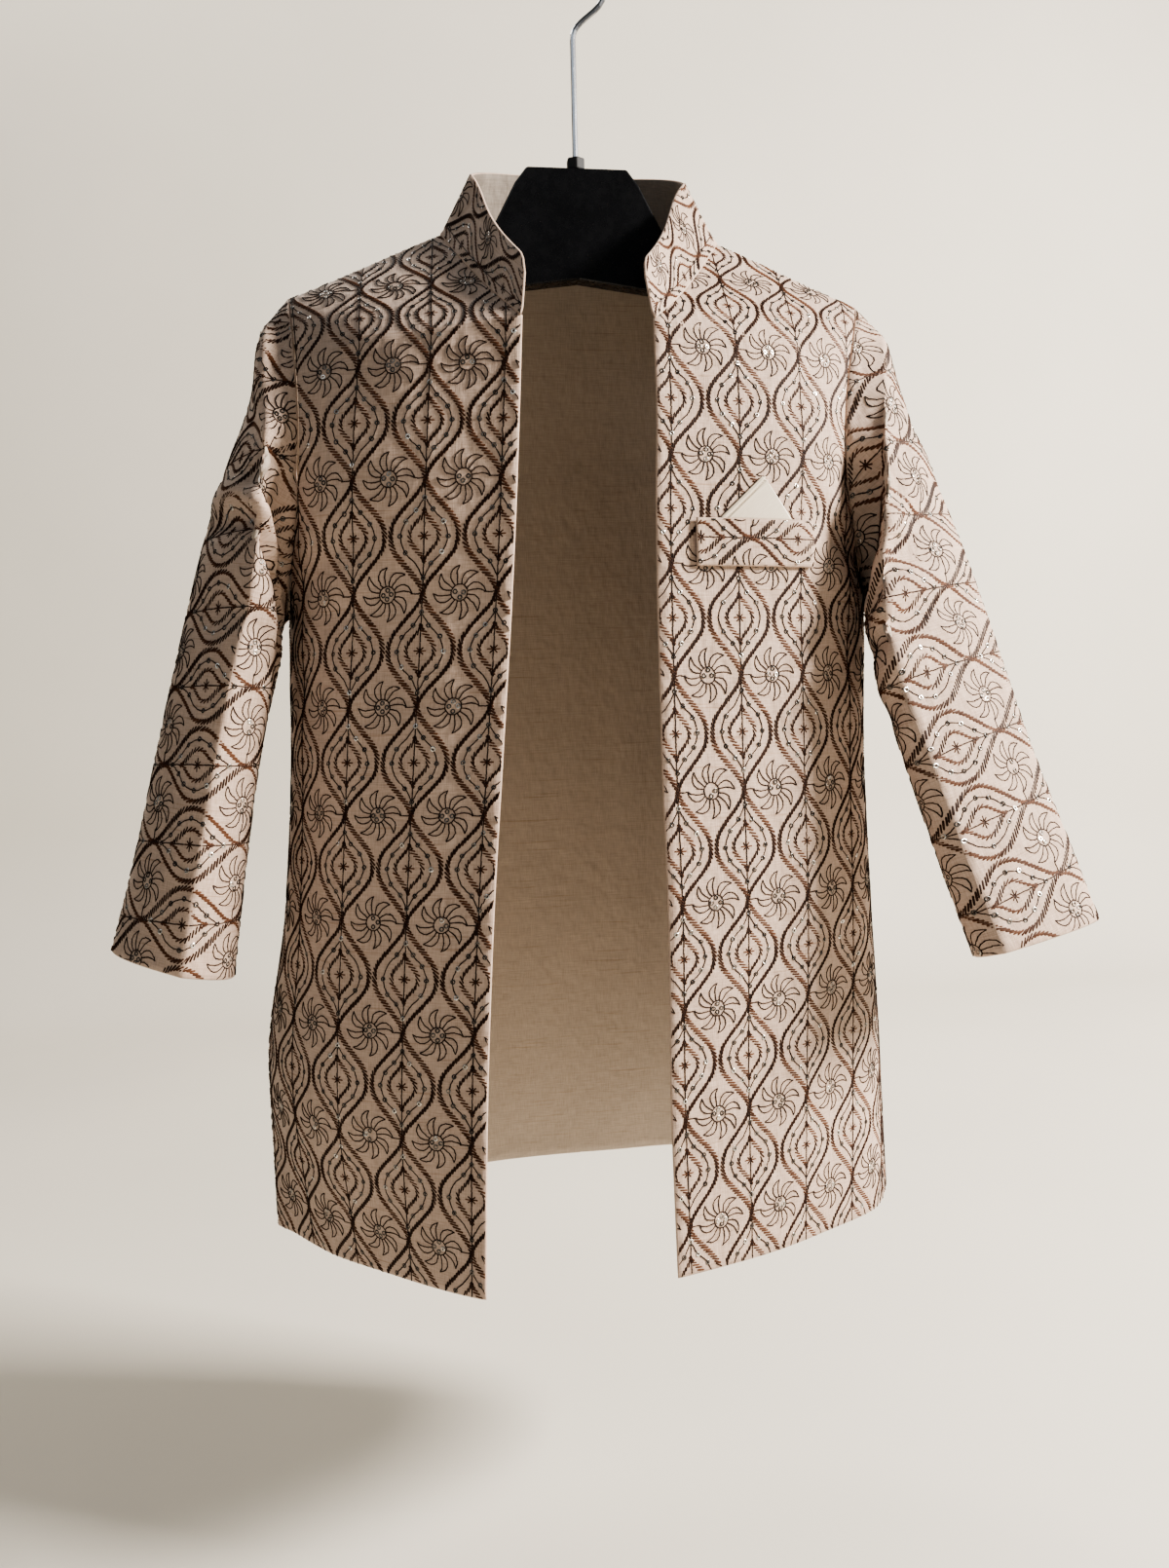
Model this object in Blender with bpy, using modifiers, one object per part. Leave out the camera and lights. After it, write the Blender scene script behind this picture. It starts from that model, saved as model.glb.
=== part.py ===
"""A child's embroidered sherwani coat, open in front, hanging on a moulded hanger with a wire hook.

Metres, +Z up.  The coat's front faces -Y and its wearer's left is at +X.  The origin is inside the
top of the hook, where the hanger is held.  Tables are in millimetres and degrees.  "out" is the
distance from the middle plane towards the side that a table belongs to.
"""
import math

import bmesh
import bpy
import numpy as np

MM = 0.001
OBJECT_NAME = "sherwani_coat_on_hanger"

# ---------------------------------------------------------------- driving sizes, in millimetres
SEAM_GAP = 0.3
CLOTH = 1.6
COLLAR_CLOTH = 2.2
SLEEVE_CLOTH = 1.6

WELD = 0.02 * MM
# How far a sleeve's first ring stands off the armhole seam, in seam gaps: all round, and the part
# added at the shoulder.
SLEEVE_STAND = 3.4
SLEEVE_STAND_TOP = 1.0

POCKET_SIDE = 1
PATCH_LIFT = 0.3
WELT_CLOTH = 1.6
WELT_INNER_X = 49.5
WELT_OUTER_X = 120.0
WELT_LOW_Z = -365.5
WELT_HIGH_Z = -340.5
SQUARE_CLOTH = 1.2
SQUARE_INNER_X = 63.5
SQUARE_OUTER_X = 107.0
SQUARE_TIP = (89.5, -317.0)
SQUARE_TIP_WIDTH = 1.2
SQUARE_FOOT_GAP = 0.4
# A place on a front is found from its middle, by this many rounds with this step.
SEARCH_START = (5.0, 0.5)
SEARCH_ROUNDS = 12
SEARCH_STEP = 0.02

COLLAR_HEIGHT_FRONT = 34.0
COLLAR_HEIGHT_BACK = 38.0
COLLAR_CORNER = 9.0
COLLAR_CENTRE = np.array([2.0, -15.0, 0.0])
# How far the collar leans in towards the neck's middle and forwards for each millimetre up,
# by how far round it is: 0 at the front corners, 1 at the middle of the back.
COLLAR_LEAN = ((0.0, 0.20), (0.25, 0.32), (0.5, 0.52), (0.8, 0.15), (1.0, 0.05))
COLLAR_TIP = ((0.0, -0.20), (0.25, -0.25), (0.5, -0.20), (0.8, 0.0), (1.0, 0.0))

HANGER_THICK = 12.0
HANGER_EDGE = 2.5
HANGER_EDGE_ANGLE = 50.0
HANGER_TOP_Z = -125.6
# Half of the hanger's outline as (out, z): its upper edge from the middle, then its lower edge back.
HANGER_UPPER = (
    (0.0, HANGER_TOP_Z),
    (30.0, HANGER_TOP_Z),
    (37.0, -134.5),
    (50.0, -159.0),
    (60.0, -169.0),
    (84.0, -176.5),
    (162.0, -209.5),
)
HANGER_LOWER = (
    (166.0, -215.0),
    (163.0, -224.0),
    (110.0, -209.0),
    (60.0, -197.0),
    (0.0, -189.0),
)
WIRE = 3.4
HOOK_INNER_RADIUS = 18.5
HOOK_JOIN_ANGLE = -50.0
HOOK_END_ANGLE = 205.0
# The wire's straight neck: heights above the cap, the drop from the round to the neck's end, and
# how far the bend's two ends pull on it, the second as a share of the round's radius.
HOOK_NECK = (0.3, 20.0, 40.0)
HOOK_NECK_DROP = 12.0
HOOK_BEND_LOW = 7.0
HOOK_BEND_HIGH = 0.55
HOOK_BEND_STEPS = 7
HOOK_ROUND_STEPS = 22
CAP_ACROSS = 11.6
CAP_TOP = -118.4
CAP_EDGE = 0.8

# ---------------------------------------------------------------- stations up the body
# 0 hem, 4 armpit, 7 foot of the collar at the front edge, 10 shoulder seam
STATION = (0, 1, 2, 3, 4, 5, 6, 7, 8, 9, 10)
ARMPIT_STATION = 4
COLLAR_STATION = 7
TOP_STATION = 10

# Front edge up to station 7, and the neck seam above it: one row for each station.
#        out    y      z
EDGE = {
    -1: (
        (79.0, -119.0, -754.0),
        (75.0, -111.0, -659.0),
        (68.5, -103.0, -560.0),
        (60.0, -96.0, -465.0),
        (53.0, -92.0, -387.0),
        (49.0, -90.0, -335.0),
        (45.5, -86.0, -284.0),
        (42.0, -78.0, -232.0),
        (57.5, -51.0, -209.0),
        (70.5, -25.0, -185.5),
        (80.5, 0.0, -164.0),
    ),
    1: (
        (27.5, -115.0, -754.0),
        (26.5, -109.0, -659.0),
        (28.0, -102.5, -560.0),
        (27.0, -96.0, -465.0),
        (27.0, -92.0, -387.0),
        (27.5, -90.0, -335.0),
        (29.5, -86.0, -284.0),
        (30.5, -77.0, -232.0),
        (50.0, -51.0, -212.0),
        (69.0, -25.0, -188.0),
        (85.0, 0.0, -165.0),
    ),
}

# Middle of the back up to its neck seam at station 8.  From there the seam runs round to the
# shoulder seam on a quarter of an ellipse.
BACK_NECK_STATION = 8
BACK_MIDDLE_X = 2.0
#   out    y     z
BACK = (
    (0.0, 76.0, -757.0),
    (0.0, 73.0, -659.0),
    (0.0, 68.0, -560.0),
    (0.0, 64.0, -465.0),
    (0.0, 64.0, -387.0),
    (0.0, 65.0, -335.0),
    (0.0, 64.0, -284.0),
    (0.0, 58.0, -222.0),
    (0.0, 46.0, -150.0),
)

# Side seam from the hem to the armpit.
#        out     y      z
SIDE = {
    -1: (
        (200.0, -2.0, -757.0),
        (201.5, 0.0, -659.0),
        (187.0, 0.0, -560.0),
        (179.5, 0.0, -465.0),
        (177.5, 0.0, -387.0),
    ),
    1: (
        (191.0, -2.0, -757.0),
        (185.0, 0.0, -659.0),
        (176.5, 0.0, -560.0),
        (171.5, 0.0, -465.0),
        (174.0, 0.0, -383.0),
    ),
}

# How a row of cloth turns away from the front or back plane at its two ends, and how far each
# end's direction reaches along the row, as a share of the straight distance.
#      turn at edge, turn at side, reach at edge, reach at side
FRONT_TURN = {
    -1: (
        (31.0, 54.0, 0.30, 0.24),
        (19.0, 78.0, 0.38, 0.38),
        (16.0, 84.0, 0.42, 0.38),
        (14.0, 86.0, 0.48, 0.38),
        (13.0, 84.0, 0.52, 0.34),
        (12.0, 66.0, 0.50, 0.28),
        (12.0, 48.0, 0.42, 0.28),
        (12.0, 40.0, 0.36, 0.28),
        (8.0, 30.0, 0.34, 0.28),
        (4.0, 16.0, 0.34, 0.30),
        (0.0, 0.0, 0.33, 0.33),
    ),
    1: (
        (18.0, 74.0, 0.46, 0.32),
        (14.0, 80.0, 0.52, 0.34),
        (11.0, 86.0, 0.56, 0.34),
        (10.0, 88.0, 0.60, 0.34),
        (10.0, 84.0, 0.60, 0.32),
        (10.0, 62.0, 0.52, 0.28),
        (11.0, 48.0, 0.42, 0.28),
        (12.0, 40.0, 0.36, 0.28),
        (8.0, 30.0, 0.34, 0.28),
        (4.0, 16.0, 0.34, 0.30),
        (0.0, 0.0, 0.33, 0.33),
    ),
}
BACK_TURN = (
    (0.0, 76.0, 0.50, 0.34),
    (0.0, 80.0, 0.52, 0.34),
    (0.0, 84.0, 0.54, 0.34),
    (0.0, 86.0, 0.56, 0.34),
    (0.0, 84.0, 0.56, 0.32),
    (0.0, 62.0, 0.50, 0.26),
    (0.0, 44.0, 0.44, 0.26),
    (0.0, 36.0, 0.38, 0.26),
    (2.0, 26.0, 0.34, 0.28),
    (3.0, 14.0, 0.34, 0.30),
    (0.0, 0.0, 0.33, 0.33),
)

# Armhole: the share of the way from the shoulder point down to the armpit at each station.
ARMHOLE_SHARE = (1.0, 1.0, 1.0, 1.0, 1.0, 0.73, 0.48, 0.24, 0.105, 0.035, 0.0)
SHOULDER_POINT = {-1: (169.0, 0.0, -202.0), 1: (171.0, 0.0, -200.0)}
ARMHOLE_INSET = {-1: 10.0, 1: 24.0}
ARMHOLE_FRONT = 47.0
ARMHOLE_BACK = 38.0
ARMHOLE_ROUND = 0.68
# How much of a front's inset the back's armhole has.
ARMHOLE_INSET_BACK = 0.6

# The power with which a wave of the skirt dies away up to its fade station.
WAVE_FADE = 1.3
# Soft waves of the skirt towards the hem: panel, place across it (0 edge, 1 side), width as a
# share of the panel, how far it stands out at the hem, and the station where it fades.
SKIRT_WAVES = (
    ("front", -1, 0.62, 0.16, 3.0, 3.2),
    ("front", -1, 0.88, 0.10, -2.5, 2.6),
    ("front", 1, 0.45, 0.15, -2.5, 2.8),
    ("front", 1, 0.74, 0.11, 3.0, 3.4),
    ("back", -1, 0.30, 0.15, -5.0, 3.6),
    ("back", -1, 0.62, 0.14, 6.0, 3.2),
    ("back", 1, 0.22, 0.13, 4.0, 3.4),
    ("back", 1, 0.55, 0.15, -6.0, 3.8),
    ("back", 1, 0.82, 0.10, 4.0, 2.6),
)

# ---------------------------------------------------------------- sleeves
# Rings down each sleeve: outer side, front crease, inner side and back crease.
#        outer: out y z      front: out y z       inner: out y z       back: out y z
SLEEVE = {
    -1: (
        (182.0, 0.0, -218.0, 177.0, -54.0, -290.0, 180.5, -9.0, -391.0, 177.0, 43.0, -288.0),
        (192.0, -2.0, -256.0, 183.0, -61.0, -314.0, 181.0, -20.0, -397.0, 189.0, 37.0, -316.0),
        (208.0, -9.0, -300.0, 185.0, -65.0, -342.0, 181.0, -28.0, -409.0, 203.0, 28.0, -346.0),
        (222.0, -18.0, -346.0, 190.0, -67.0, -374.0, 184.0, -33.0, -425.0, 215.0, 20.0, -382.0),
        (235.0, -27.0, -401.0, 200.5, -70.0, -415.0, 189.0, -38.0, -446.0, 226.0, 12.0, -423.0),
        (248.0, -34.0, -457.0, 212.0, -73.0, -466.0, 196.0, -41.0, -482.0, 236.0, 4.0, -470.0),
        (264.0, -38.0, -522.0, 224.0, -77.0, -526.0, 205.0, -43.0, -538.0, 248.0, -1.0, -530.0),
        (279.0, -40.0, -572.0, 234.0, -80.0, -580.0, 212.0, -45.0, -588.0, 256.0, -5.0, -578.0),
    ),
    1: (
        (187.0, 0.0, -217.0, 169.0, -55.0, -290.0, 177.0, -10.0, -386.0, 178.0, 42.0, -288.0),
        (199.0, -9.0, -258.0, 166.0, -67.0, -316.0, 171.0, -25.0, -389.0, 190.0, 34.0, -316.0),
        (216.0, -20.0, -307.0, 160.0, -78.0, -352.0, 167.0, -36.0, -396.0, 206.0, 22.0, -350.0),
        (229.0, -35.0, -356.0, 157.5, -86.0, -390.0, 167.0, -46.0, -412.0, 217.0, 4.0, -388.0),
        (240.0, -50.0, -407.0, 162.0, -92.0, -425.0, 172.0, -56.0, -440.0, 227.0, -12.0, -428.0),
        (255.0, -66.0, -471.0, 178.0, -98.0, -472.0, 182.0, -68.0, -484.0, 239.0, -32.0, -478.0),
        (274.0, -80.0, -531.0, 198.0, -109.0, -536.0, 198.0, -81.0, -543.0, 254.0, -50.0, -537.0),
        (288.0, -88.0, -573.0, 213.5, -119.0, -582.0, 211.0, -90.0, -588.0, 264.0, -60.0, -579.0),
    ),
}
SLEEVE_FULLNESS = 0.55

# Creases across the sleeves: side, place of the middle down the sleeve (0 armhole, 1 cuff), lean
# of the crease from outer to inner side, depth, half width as a share of the sleeve, lip above it.
SLEEVE_CREASES = (
    (-1, 0.21, -0.20, 6.0, 0.020, 5.5),
    (-1, 0.10, -0.10, 2.0, 0.030, 1.5),
    (-1, 0.38, -0.10, 1.5, 0.035, 1.0),
    (1, 0.30, 0.060, 3.0, 0.030, 2.5),
    (1, 0.40, -0.040, 3.5, 0.028, 2.5),
    (1, 0.53, 0.030, 2.0, 0.035, 1.5),
)

# The lip's middle above a crease, and the square of its half width, in half widths of the crease.
LIP_PLACE = 1.9
LIP_SPREAD = 1.4

# ---------------------------------------------------------------- mesh fineness
PANEL_COLUMNS = 14
BACK_COLUMNS = 13
PANEL_ROWS = 26
ROWS_TO_ARMPIT = 0.42
ROWS_TO_COLLAR = 0.27
SLEEVE_RINGS = 27
SLEEVE_QUARTER = 6
COLLAR_STEPS = 12
COLLAR_ROWS = 3

COLLECTION = None


# ---------------------------------------------------------------- small helpers
def new_collection(name):
    """Make a collection in the scene."""
    collection = bpy.data.collections.new(name)
    bpy.context.scene.collection.children.link(collection)
    return collection


def material(name, colour, roughness, metallic=0.0):
    """A Principled material with the part's plain colour."""
    made = bpy.data.materials.new(name)
    made.use_nodes = True
    shader = made.node_tree.nodes["Principled BSDF"]
    shader.inputs["Base Color"].default_value = (*colour, 1.0)
    shader.inputs["Roughness"].default_value = roughness
    shader.inputs["Metallic"].default_value = metallic
    return made


def smooth_column(stations, values, at):
    """Value of a table column between its rows, on a cubic through them that doesn't overshoot."""
    x = np.asarray(stations, float)
    y = np.asarray(values, float)
    step = np.diff(x)
    slope = np.diff(y) / step
    tangent = np.zeros_like(y)
    tangent[0] = slope[0]
    tangent[-1] = slope[-1]
    for i in range(1, len(y) - 1):
        if slope[i - 1] * slope[i] > 0:
            w0 = 2 * step[i] + step[i - 1]
            w1 = step[i] + 2 * step[i - 1]
            tangent[i] = (w0 + w1) / (w0 / slope[i - 1] + w1 / slope[i])
    i = int(np.clip(np.searchsorted(x, at, side="right") - 1, 0, len(step) - 1))
    s = (at - x[i]) / step[i]
    h = step[i]
    return float(
        (2 * s**3 - 3 * s**2 + 1) * y[i]
        + (s**3 - 2 * s**2 + s) * h * tangent[i]
        + (3 * s**2 - 2 * s**3) * y[i + 1]
        + (s**3 - s**2) * h * tangent[i + 1]
    )


def table_point(rows, at, stations=STATION):
    """A point (out, y, z) of a table of points, between its rows."""
    return np.array([smooth_column(stations[: len(rows)], [r[c] for r in rows], at) for c in range(3)])


def bezier(p0, p1, p2, p3, t):
    """Point of a cubic Bezier curve."""
    s = 1.0 - t
    return s**3 * p0 + 3 * s**2 * t * p1 + 3 * s * t**2 * p2 + t**3 * p3


def to_world(point, side):
    """Table point (out, y, z) in millimetres to metres, on the given side."""
    return np.array([side * point[0], point[1], point[2]]) * MM


# ---------------------------------------------------------------- body
def armhole(side, face, share):
    """Armhole seam, from the shoulder point (share 0) to the armpit (share 1).  Face -1 is front."""
    top = np.array(SHOULDER_POINT[side])
    low = np.array(SIDE[side][-1])
    point = top + (low - top) * share
    bow = max(0.0, math.sin(math.pi * share))
    depth = ARMHOLE_FRONT if face < 0 else ARMHOLE_BACK
    point[0] -= ARMHOLE_INSET[side] * bow * (1.0 if face < 0 else ARMHOLE_INSET_BACK)
    point[1] += face * depth * bow**ARMHOLE_ROUND
    return point


def side_point(side, face, station):
    """Outer end of a row: on the side seam below the armpit and on the armhole above it."""
    if station <= ARMPIT_STATION:
        return table_point(SIDE[side], station)
    return armhole(side, face, smooth_column(STATION, ARMHOLE_SHARE, station))


def inner_point(side, face, station):
    """Inner end of a row: front edge and neck seam, or middle of the back and neck seam."""
    if face < 0 and station <= COLLAR_STATION:
        return table_point(EDGE[side][: COLLAR_STATION + 1], station)
    if face < 0:
        return table_point(EDGE[side][COLLAR_STATION:], station, STATION[COLLAR_STATION:])
    middle = table_point(BACK, min(station, BACK_NECK_STATION))
    middle[0] = BACK_MIDDLE_X * side
    share = max(0.0, station - BACK_NECK_STATION) / (TOP_STATION - BACK_NECK_STATION)
    turn = math.pi / 2 * share
    neck = np.array(EDGE[side][-1])
    return middle + (neck - middle) * np.array([math.sin(turn), 1 - math.cos(turn), 1 - math.cos(turn)])


def skirt_wave(face, side, across, station):
    """How far the skirt's soft waves move the cloth outwards here."""
    name = "front" if face < 0 else "back"
    total = 0.0
    for panel, wave_side, place, width, height, fade in SKIRT_WAVES:
        if panel == name and wave_side == side and station < fade:
            run = (1.0 - station / fade) ** WAVE_FADE
            total += height * run * math.exp(-(((across - place) / width) ** 2))
    return total * max(0.0, math.sin(math.pi * across)) ** 0.5


def panel_row(side, face, station, across):
    """Point of a body panel, in table coordinates: across 0 is the inner end, 1 the outer end."""
    start = inner_point(side, face, station)
    end = side_point(side, face, station)
    turns = FRONT_TURN[side] if face < 0 else BACK_TURN
    columns = [smooth_column(STATION, [r[c] for r in turns], station) for c in range(4)]
    turn_in, turn_out = math.radians(columns[0]), math.radians(columns[1])
    length = float(np.linalg.norm(end - start))
    reach_in, reach_out = columns[2] * length, columns[3] * length
    drop = (end[2] - start[2]) / length
    lead = start + np.array([math.cos(turn_in), -face * math.sin(turn_in), drop]) * reach_in
    tail = end - np.array([math.cos(turn_out), -face * math.sin(turn_out), drop]) * reach_out
    point = bezier(start, lead, tail, end, across)
    point[1] += face * skirt_wave(face, side, across, station)
    return point


def panel_grid(side, face, columns, rows):
    """Grid of a body panel's outer surface in metres, [row][column]."""
    stations = panel_stations(rows)
    grid = []
    for station in stations:
        row = []
        for c in range(columns + 1):
            point = panel_row(side, face, station, c / columns)
            point[1] += face * SEAM_GAP / 2
            row.append(to_world(point, side))
        grid.append(row)
    return np.array(grid)


def panel_stations(rows):
    """Stations of the grid's rows: some fall on each corner of the panel's outline."""
    low = round(rows * ROWS_TO_ARMPIT)
    mid = round(rows * ROWS_TO_COLLAR)
    high = rows - low - mid
    stations = [ARMPIT_STATION * i / low for i in range(low)]
    stations += [ARMPIT_STATION + (COLLAR_STATION - ARMPIT_STATION) * i / mid for i in range(mid)]
    stations += [COLLAR_STATION + (TOP_STATION - COLLAR_STATION) * i / high for i in range(high + 1)]
    return stations


# ---------------------------------------------------------------- walls of cloth
def grid_normals(grid, closed):
    """Unit normals of a grid surface.  With closed, its columns run round a ring."""
    if closed:
        across = np.roll(grid, -1, axis=1) - np.roll(grid, 1, axis=1)
    else:
        across = np.gradient(grid, axis=1)
    along = np.gradient(grid, axis=0)
    normals = np.cross(across, along)
    length = np.linalg.norm(normals, axis=2, keepdims=True)
    return normals / np.maximum(length, 1e-12)


def wall_faces(rows, columns, closed, open_start):
    """Faces of a wall between two grids.  Its first column has no rim below row open_start."""
    count = rows * columns

    def index(layer, row, column):
        return layer * count + row * columns + column % columns

    def rim(a, b):
        return [index(1, *a), index(1, *b), index(0, *b), index(0, *a)]

    faces = []
    spans = columns if closed else columns - 1
    for row in range(rows - 1):
        for column in range(spans):
            quad = ((row, column), (row, column + 1), (row + 1, column + 1), (row + 1, column))
            faces.append([index(0, *corner) for corner in quad])
            faces.append([index(1, *corner) for corner in reversed(quad)])
    for column in range(spans):
        faces.append(rim((0, column), (0, column + 1)))
        faces.append(rim((rows - 1, column + 1), (rows - 1, column)))
    if not closed:
        for row in range(rows - 1):
            faces.append(rim((row, columns - 1), (row + 1, columns - 1)))
            if row >= open_start:
                faces.append(rim((row + 1, 0), (row, 0)))
    return faces


def wall_object(name, layers, made_of, closed=False, open_start=0):
    """Closed wall from pairs of outer and inner grids, which are welded where they meet."""
    work = bmesh.new()
    for outer, inner in layers:
        rows, columns = outer.shape[:2]
        points = np.concatenate([outer.reshape(-1, 3), inner.reshape(-1, 3)])
        verts = [work.verts.new(point) for point in points]
        for face in wall_faces(rows, columns, closed, open_start):
            work.faces.new([verts[i] for i in face])
    bmesh.ops.remove_doubles(work, verts=work.verts, dist=WELD)
    bmesh.ops.recalc_face_normals(work, faces=work.faces)
    mesh = bpy.data.meshes.new(name)
    work.to_mesh(mesh)
    work.free()
    return place(name, mesh, made_of)


def place(name, mesh, made_of):
    """Put a mesh in the object's collection, with its material."""
    mesh.materials.append(made_of)
    mesh.shade_smooth()
    mesh.set_sharp_from_angle(angle=math.radians(40.0))
    thing = bpy.data.objects.new(name, mesh)
    COLLECTION.objects.link(thing)
    return thing


def body_wall(side, face, columns):
    """Outer and inner grids of a body panel.  At the shoulder seam the wall is cut straight down."""
    outer = panel_grid(side, face, columns, PANEL_ROWS)
    normals = grid_normals(outer, closed=False)
    if normals[2, columns // 2, 1] * face < 0:
        normals = -normals
    depth = np.full(outer.shape[:2], CLOTH * MM)
    slope = np.maximum(normals[-1, :, 2], 0.5)
    side_rows = [i for i, station in enumerate(panel_stations(PANEL_ROWS)) if station <= ARMPIT_STATION]
    normals[side_rows, -1, 1] = 0.0
    normals /= np.linalg.norm(normals, axis=2, keepdims=True)
    normals[-1] = (0.0, 0.0, 1.0)
    depth[-1] = CLOTH * MM / slope
    inner = outer - normals * depth[:, :, None]
    return outer, inner


def make_front(name, side, made_of):
    """One front of the coat, from its edge to the side seam and armhole."""
    return wall_object(name, [body_wall(side, -1, PANEL_COLUMNS)], made_of)


def make_back(name, made_of):
    """The back, in one piece: two halves that share the points of its middle line."""
    halves = [body_wall(side, 1, BACK_COLUMNS) for side in (-1, 1)]
    stations = panel_stations(PANEL_ROWS)
    neck_row = min(i for i, station in enumerate(stations) if station >= BACK_NECK_STATION - 0.001)
    for layer in (0, 1):
        middle = (halves[0][layer][: neck_row + 1, 0] + halves[1][layer][: neck_row + 1, 0]) / 2
        for half in halves:
            half[layer][: neck_row + 1, 0] = middle
    return wall_object(name, halves, made_of, open_start=neck_row)


# ---------------------------------------------------------------- sleeves
def quarter(start, end, toward, share):
    """Point of a sleeve ring between a side of the sleeve and a crease."""
    lead = start + toward * SLEEVE_FULLNESS
    return bezier(start, start + (lead - start) * 0.8, end + (lead - end) * 0.5, end, share)


def ring_points(outer, front, inner, back):
    """One ring of a sleeve: round from the outer side by the front crease, inner side and back."""
    centre = (outer + front + inner + back) / 4
    steps = [i / SLEEVE_QUARTER for i in range(SLEEVE_QUARTER)]
    ring = [quarter(outer, front, front - centre, s) for s in steps]
    ring += [quarter(inner, front, front - centre, 1 - s) for s in steps]
    ring += [quarter(inner, back, back - centre, s) for s in steps]
    ring += [quarter(outer, back, back - centre, 1 - s) for s in steps]
    return np.array(ring)


def armhole_ring(side):
    """The sleeve's first ring, just outside the armhole seam."""
    steps = [i / SLEEVE_QUARTER for i in range(SLEEVE_QUARTER)]
    ring = [armhole(side, -1, s / 2) for s in steps]
    ring += [armhole(side, -1, 0.5 + s / 2) for s in steps]
    ring += [armhole(side, 1, 1 - s / 2) for s in steps]
    ring += [armhole(side, 1, 0.5 - s / 2) for s in steps]
    ring = np.array(ring)
    nearness = (1 + np.cos(2 * math.pi * np.arange(len(ring)) / len(ring))) / 2
    ring[:, 0] += SEAM_GAP * (SLEEVE_STAND + SLEEVE_STAND_TOP * nearness**3)
    return ring


def sleeve_rings(side):
    """The table's rings of a sleeve, each a loop of points in table coordinates."""
    rings = [armhole_ring(side)]
    for row in SLEEVE[side]:
        corners = [np.array(row[i : i + 3]) for i in (0, 3, 6, 9)]
        rings.append(ring_points(*corners))
    return np.array(rings)


def sleeve_grid(side, count):
    """Grid of a sleeve's outer surface in metres, [ring][point], with its creases."""
    rings = sleeve_rings(side)
    centres = rings.mean(axis=1)
    run = np.concatenate([[0.0], np.cumsum(np.linalg.norm(np.diff(centres, axis=0), axis=1))])
    run = run / run[-1]
    grid = []
    for i in range(count + 1):
        at = i / count
        ring = [
            [smooth_column(run, rings[:, j, c], at) for c in range(3)] for j in range(rings.shape[1])
        ]
        grid.append([to_world(point, side) for point in ring])
    grid = np.array(grid)
    return grid + sleeve_normals(side, grid) * sleeve_creases(side, count, grid.shape[1])[:, :, None]


def sleeve_normals(side, grid):
    """Outward unit normals of a sleeve grid."""
    normals = grid_normals(grid, closed=True)
    outward = grid - grid.mean(axis=1, keepdims=True)
    return normals if (normals * outward).sum() > 0 else -normals


def sleeve_creases(side, count, points):
    """How far the creases across a sleeve move each of its points outwards, in metres."""
    moves = np.zeros((count + 1, points))
    down = np.arange(count + 1)[:, None] / count
    turn = 2 * math.pi * np.arange(points)[None, :] / points
    lean_at = (1 - np.cos(turn)) / 2
    front = np.maximum(np.sin(turn), 0.0) ** 0.5
    for crease_side, middle, lean, depth, width, lip in SLEEVE_CREASES:
        if crease_side != side:
            continue
        away = (down - middle - lean * (lean_at - 0.5)) / width
        trough = -depth * np.exp(-(away**2))
        ridge = lip * np.exp(-((away + LIP_PLACE) ** 2) / LIP_SPREAD)
        moves += (trough + ridge) * front
    return moves * MM


def make_sleeve(name, side, made_of):
    """A sleeve: a tube from the armhole to the cuff, pressed into a crease in front and behind."""
    outer = sleeve_grid(side, SLEEVE_RINGS)
    inner = outer - sleeve_normals(side, outer) * SLEEVE_CLOTH * MM
    return wall_object(name, [(outer, inner)], made_of, closed=True)


# ---------------------------------------------------------------- collar
def neck_line():
    """Neck seam from the right front's edge round the back to the left front's edge."""
    points = []
    for side in (-1, 1):
        half = []
        for i in range(COLLAR_STEPS + 1):
            station = COLLAR_STATION + (TOP_STATION - COLLAR_STATION) * i / COLLAR_STEPS
            half.append(to_world(inner_point(side, -1, station), side))
        for i in range(1, COLLAR_STEPS + 1):
            station = TOP_STATION - (TOP_STATION - BACK_NECK_STATION) * i / COLLAR_STEPS
            half.append(to_world(inner_point(side, 1, station), side))
        points.append(half)
    return np.array(points[0] + points[1][-2::-1])


def make_collar(name, made_of):
    """The standing collar: a band on the neck seam that leans in, with rounded front corners."""
    seam = neck_line()
    seam[:, 2] += SEAM_GAP * 1.6 * MM
    run = np.concatenate([[0.0], np.cumsum(np.linalg.norm(np.diff(seam, axis=0), axis=1))])
    grid = []
    for i, foot in enumerate(seam):
        grid.append(collar_rib(foot, run[i], run[-1]))
    grid = np.array(grid).transpose(1, 0, 2)
    normals = grid_normals(grid, closed=False)
    outward = grid - COLLAR_CENTRE * MM
    outward[:, :, 2] = 0.0
    if (normals * outward).sum() < 0:
        normals = -normals
    return wall_object(name, [(grid, grid - normals * COLLAR_CLOTH * MM)], made_of)


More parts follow.
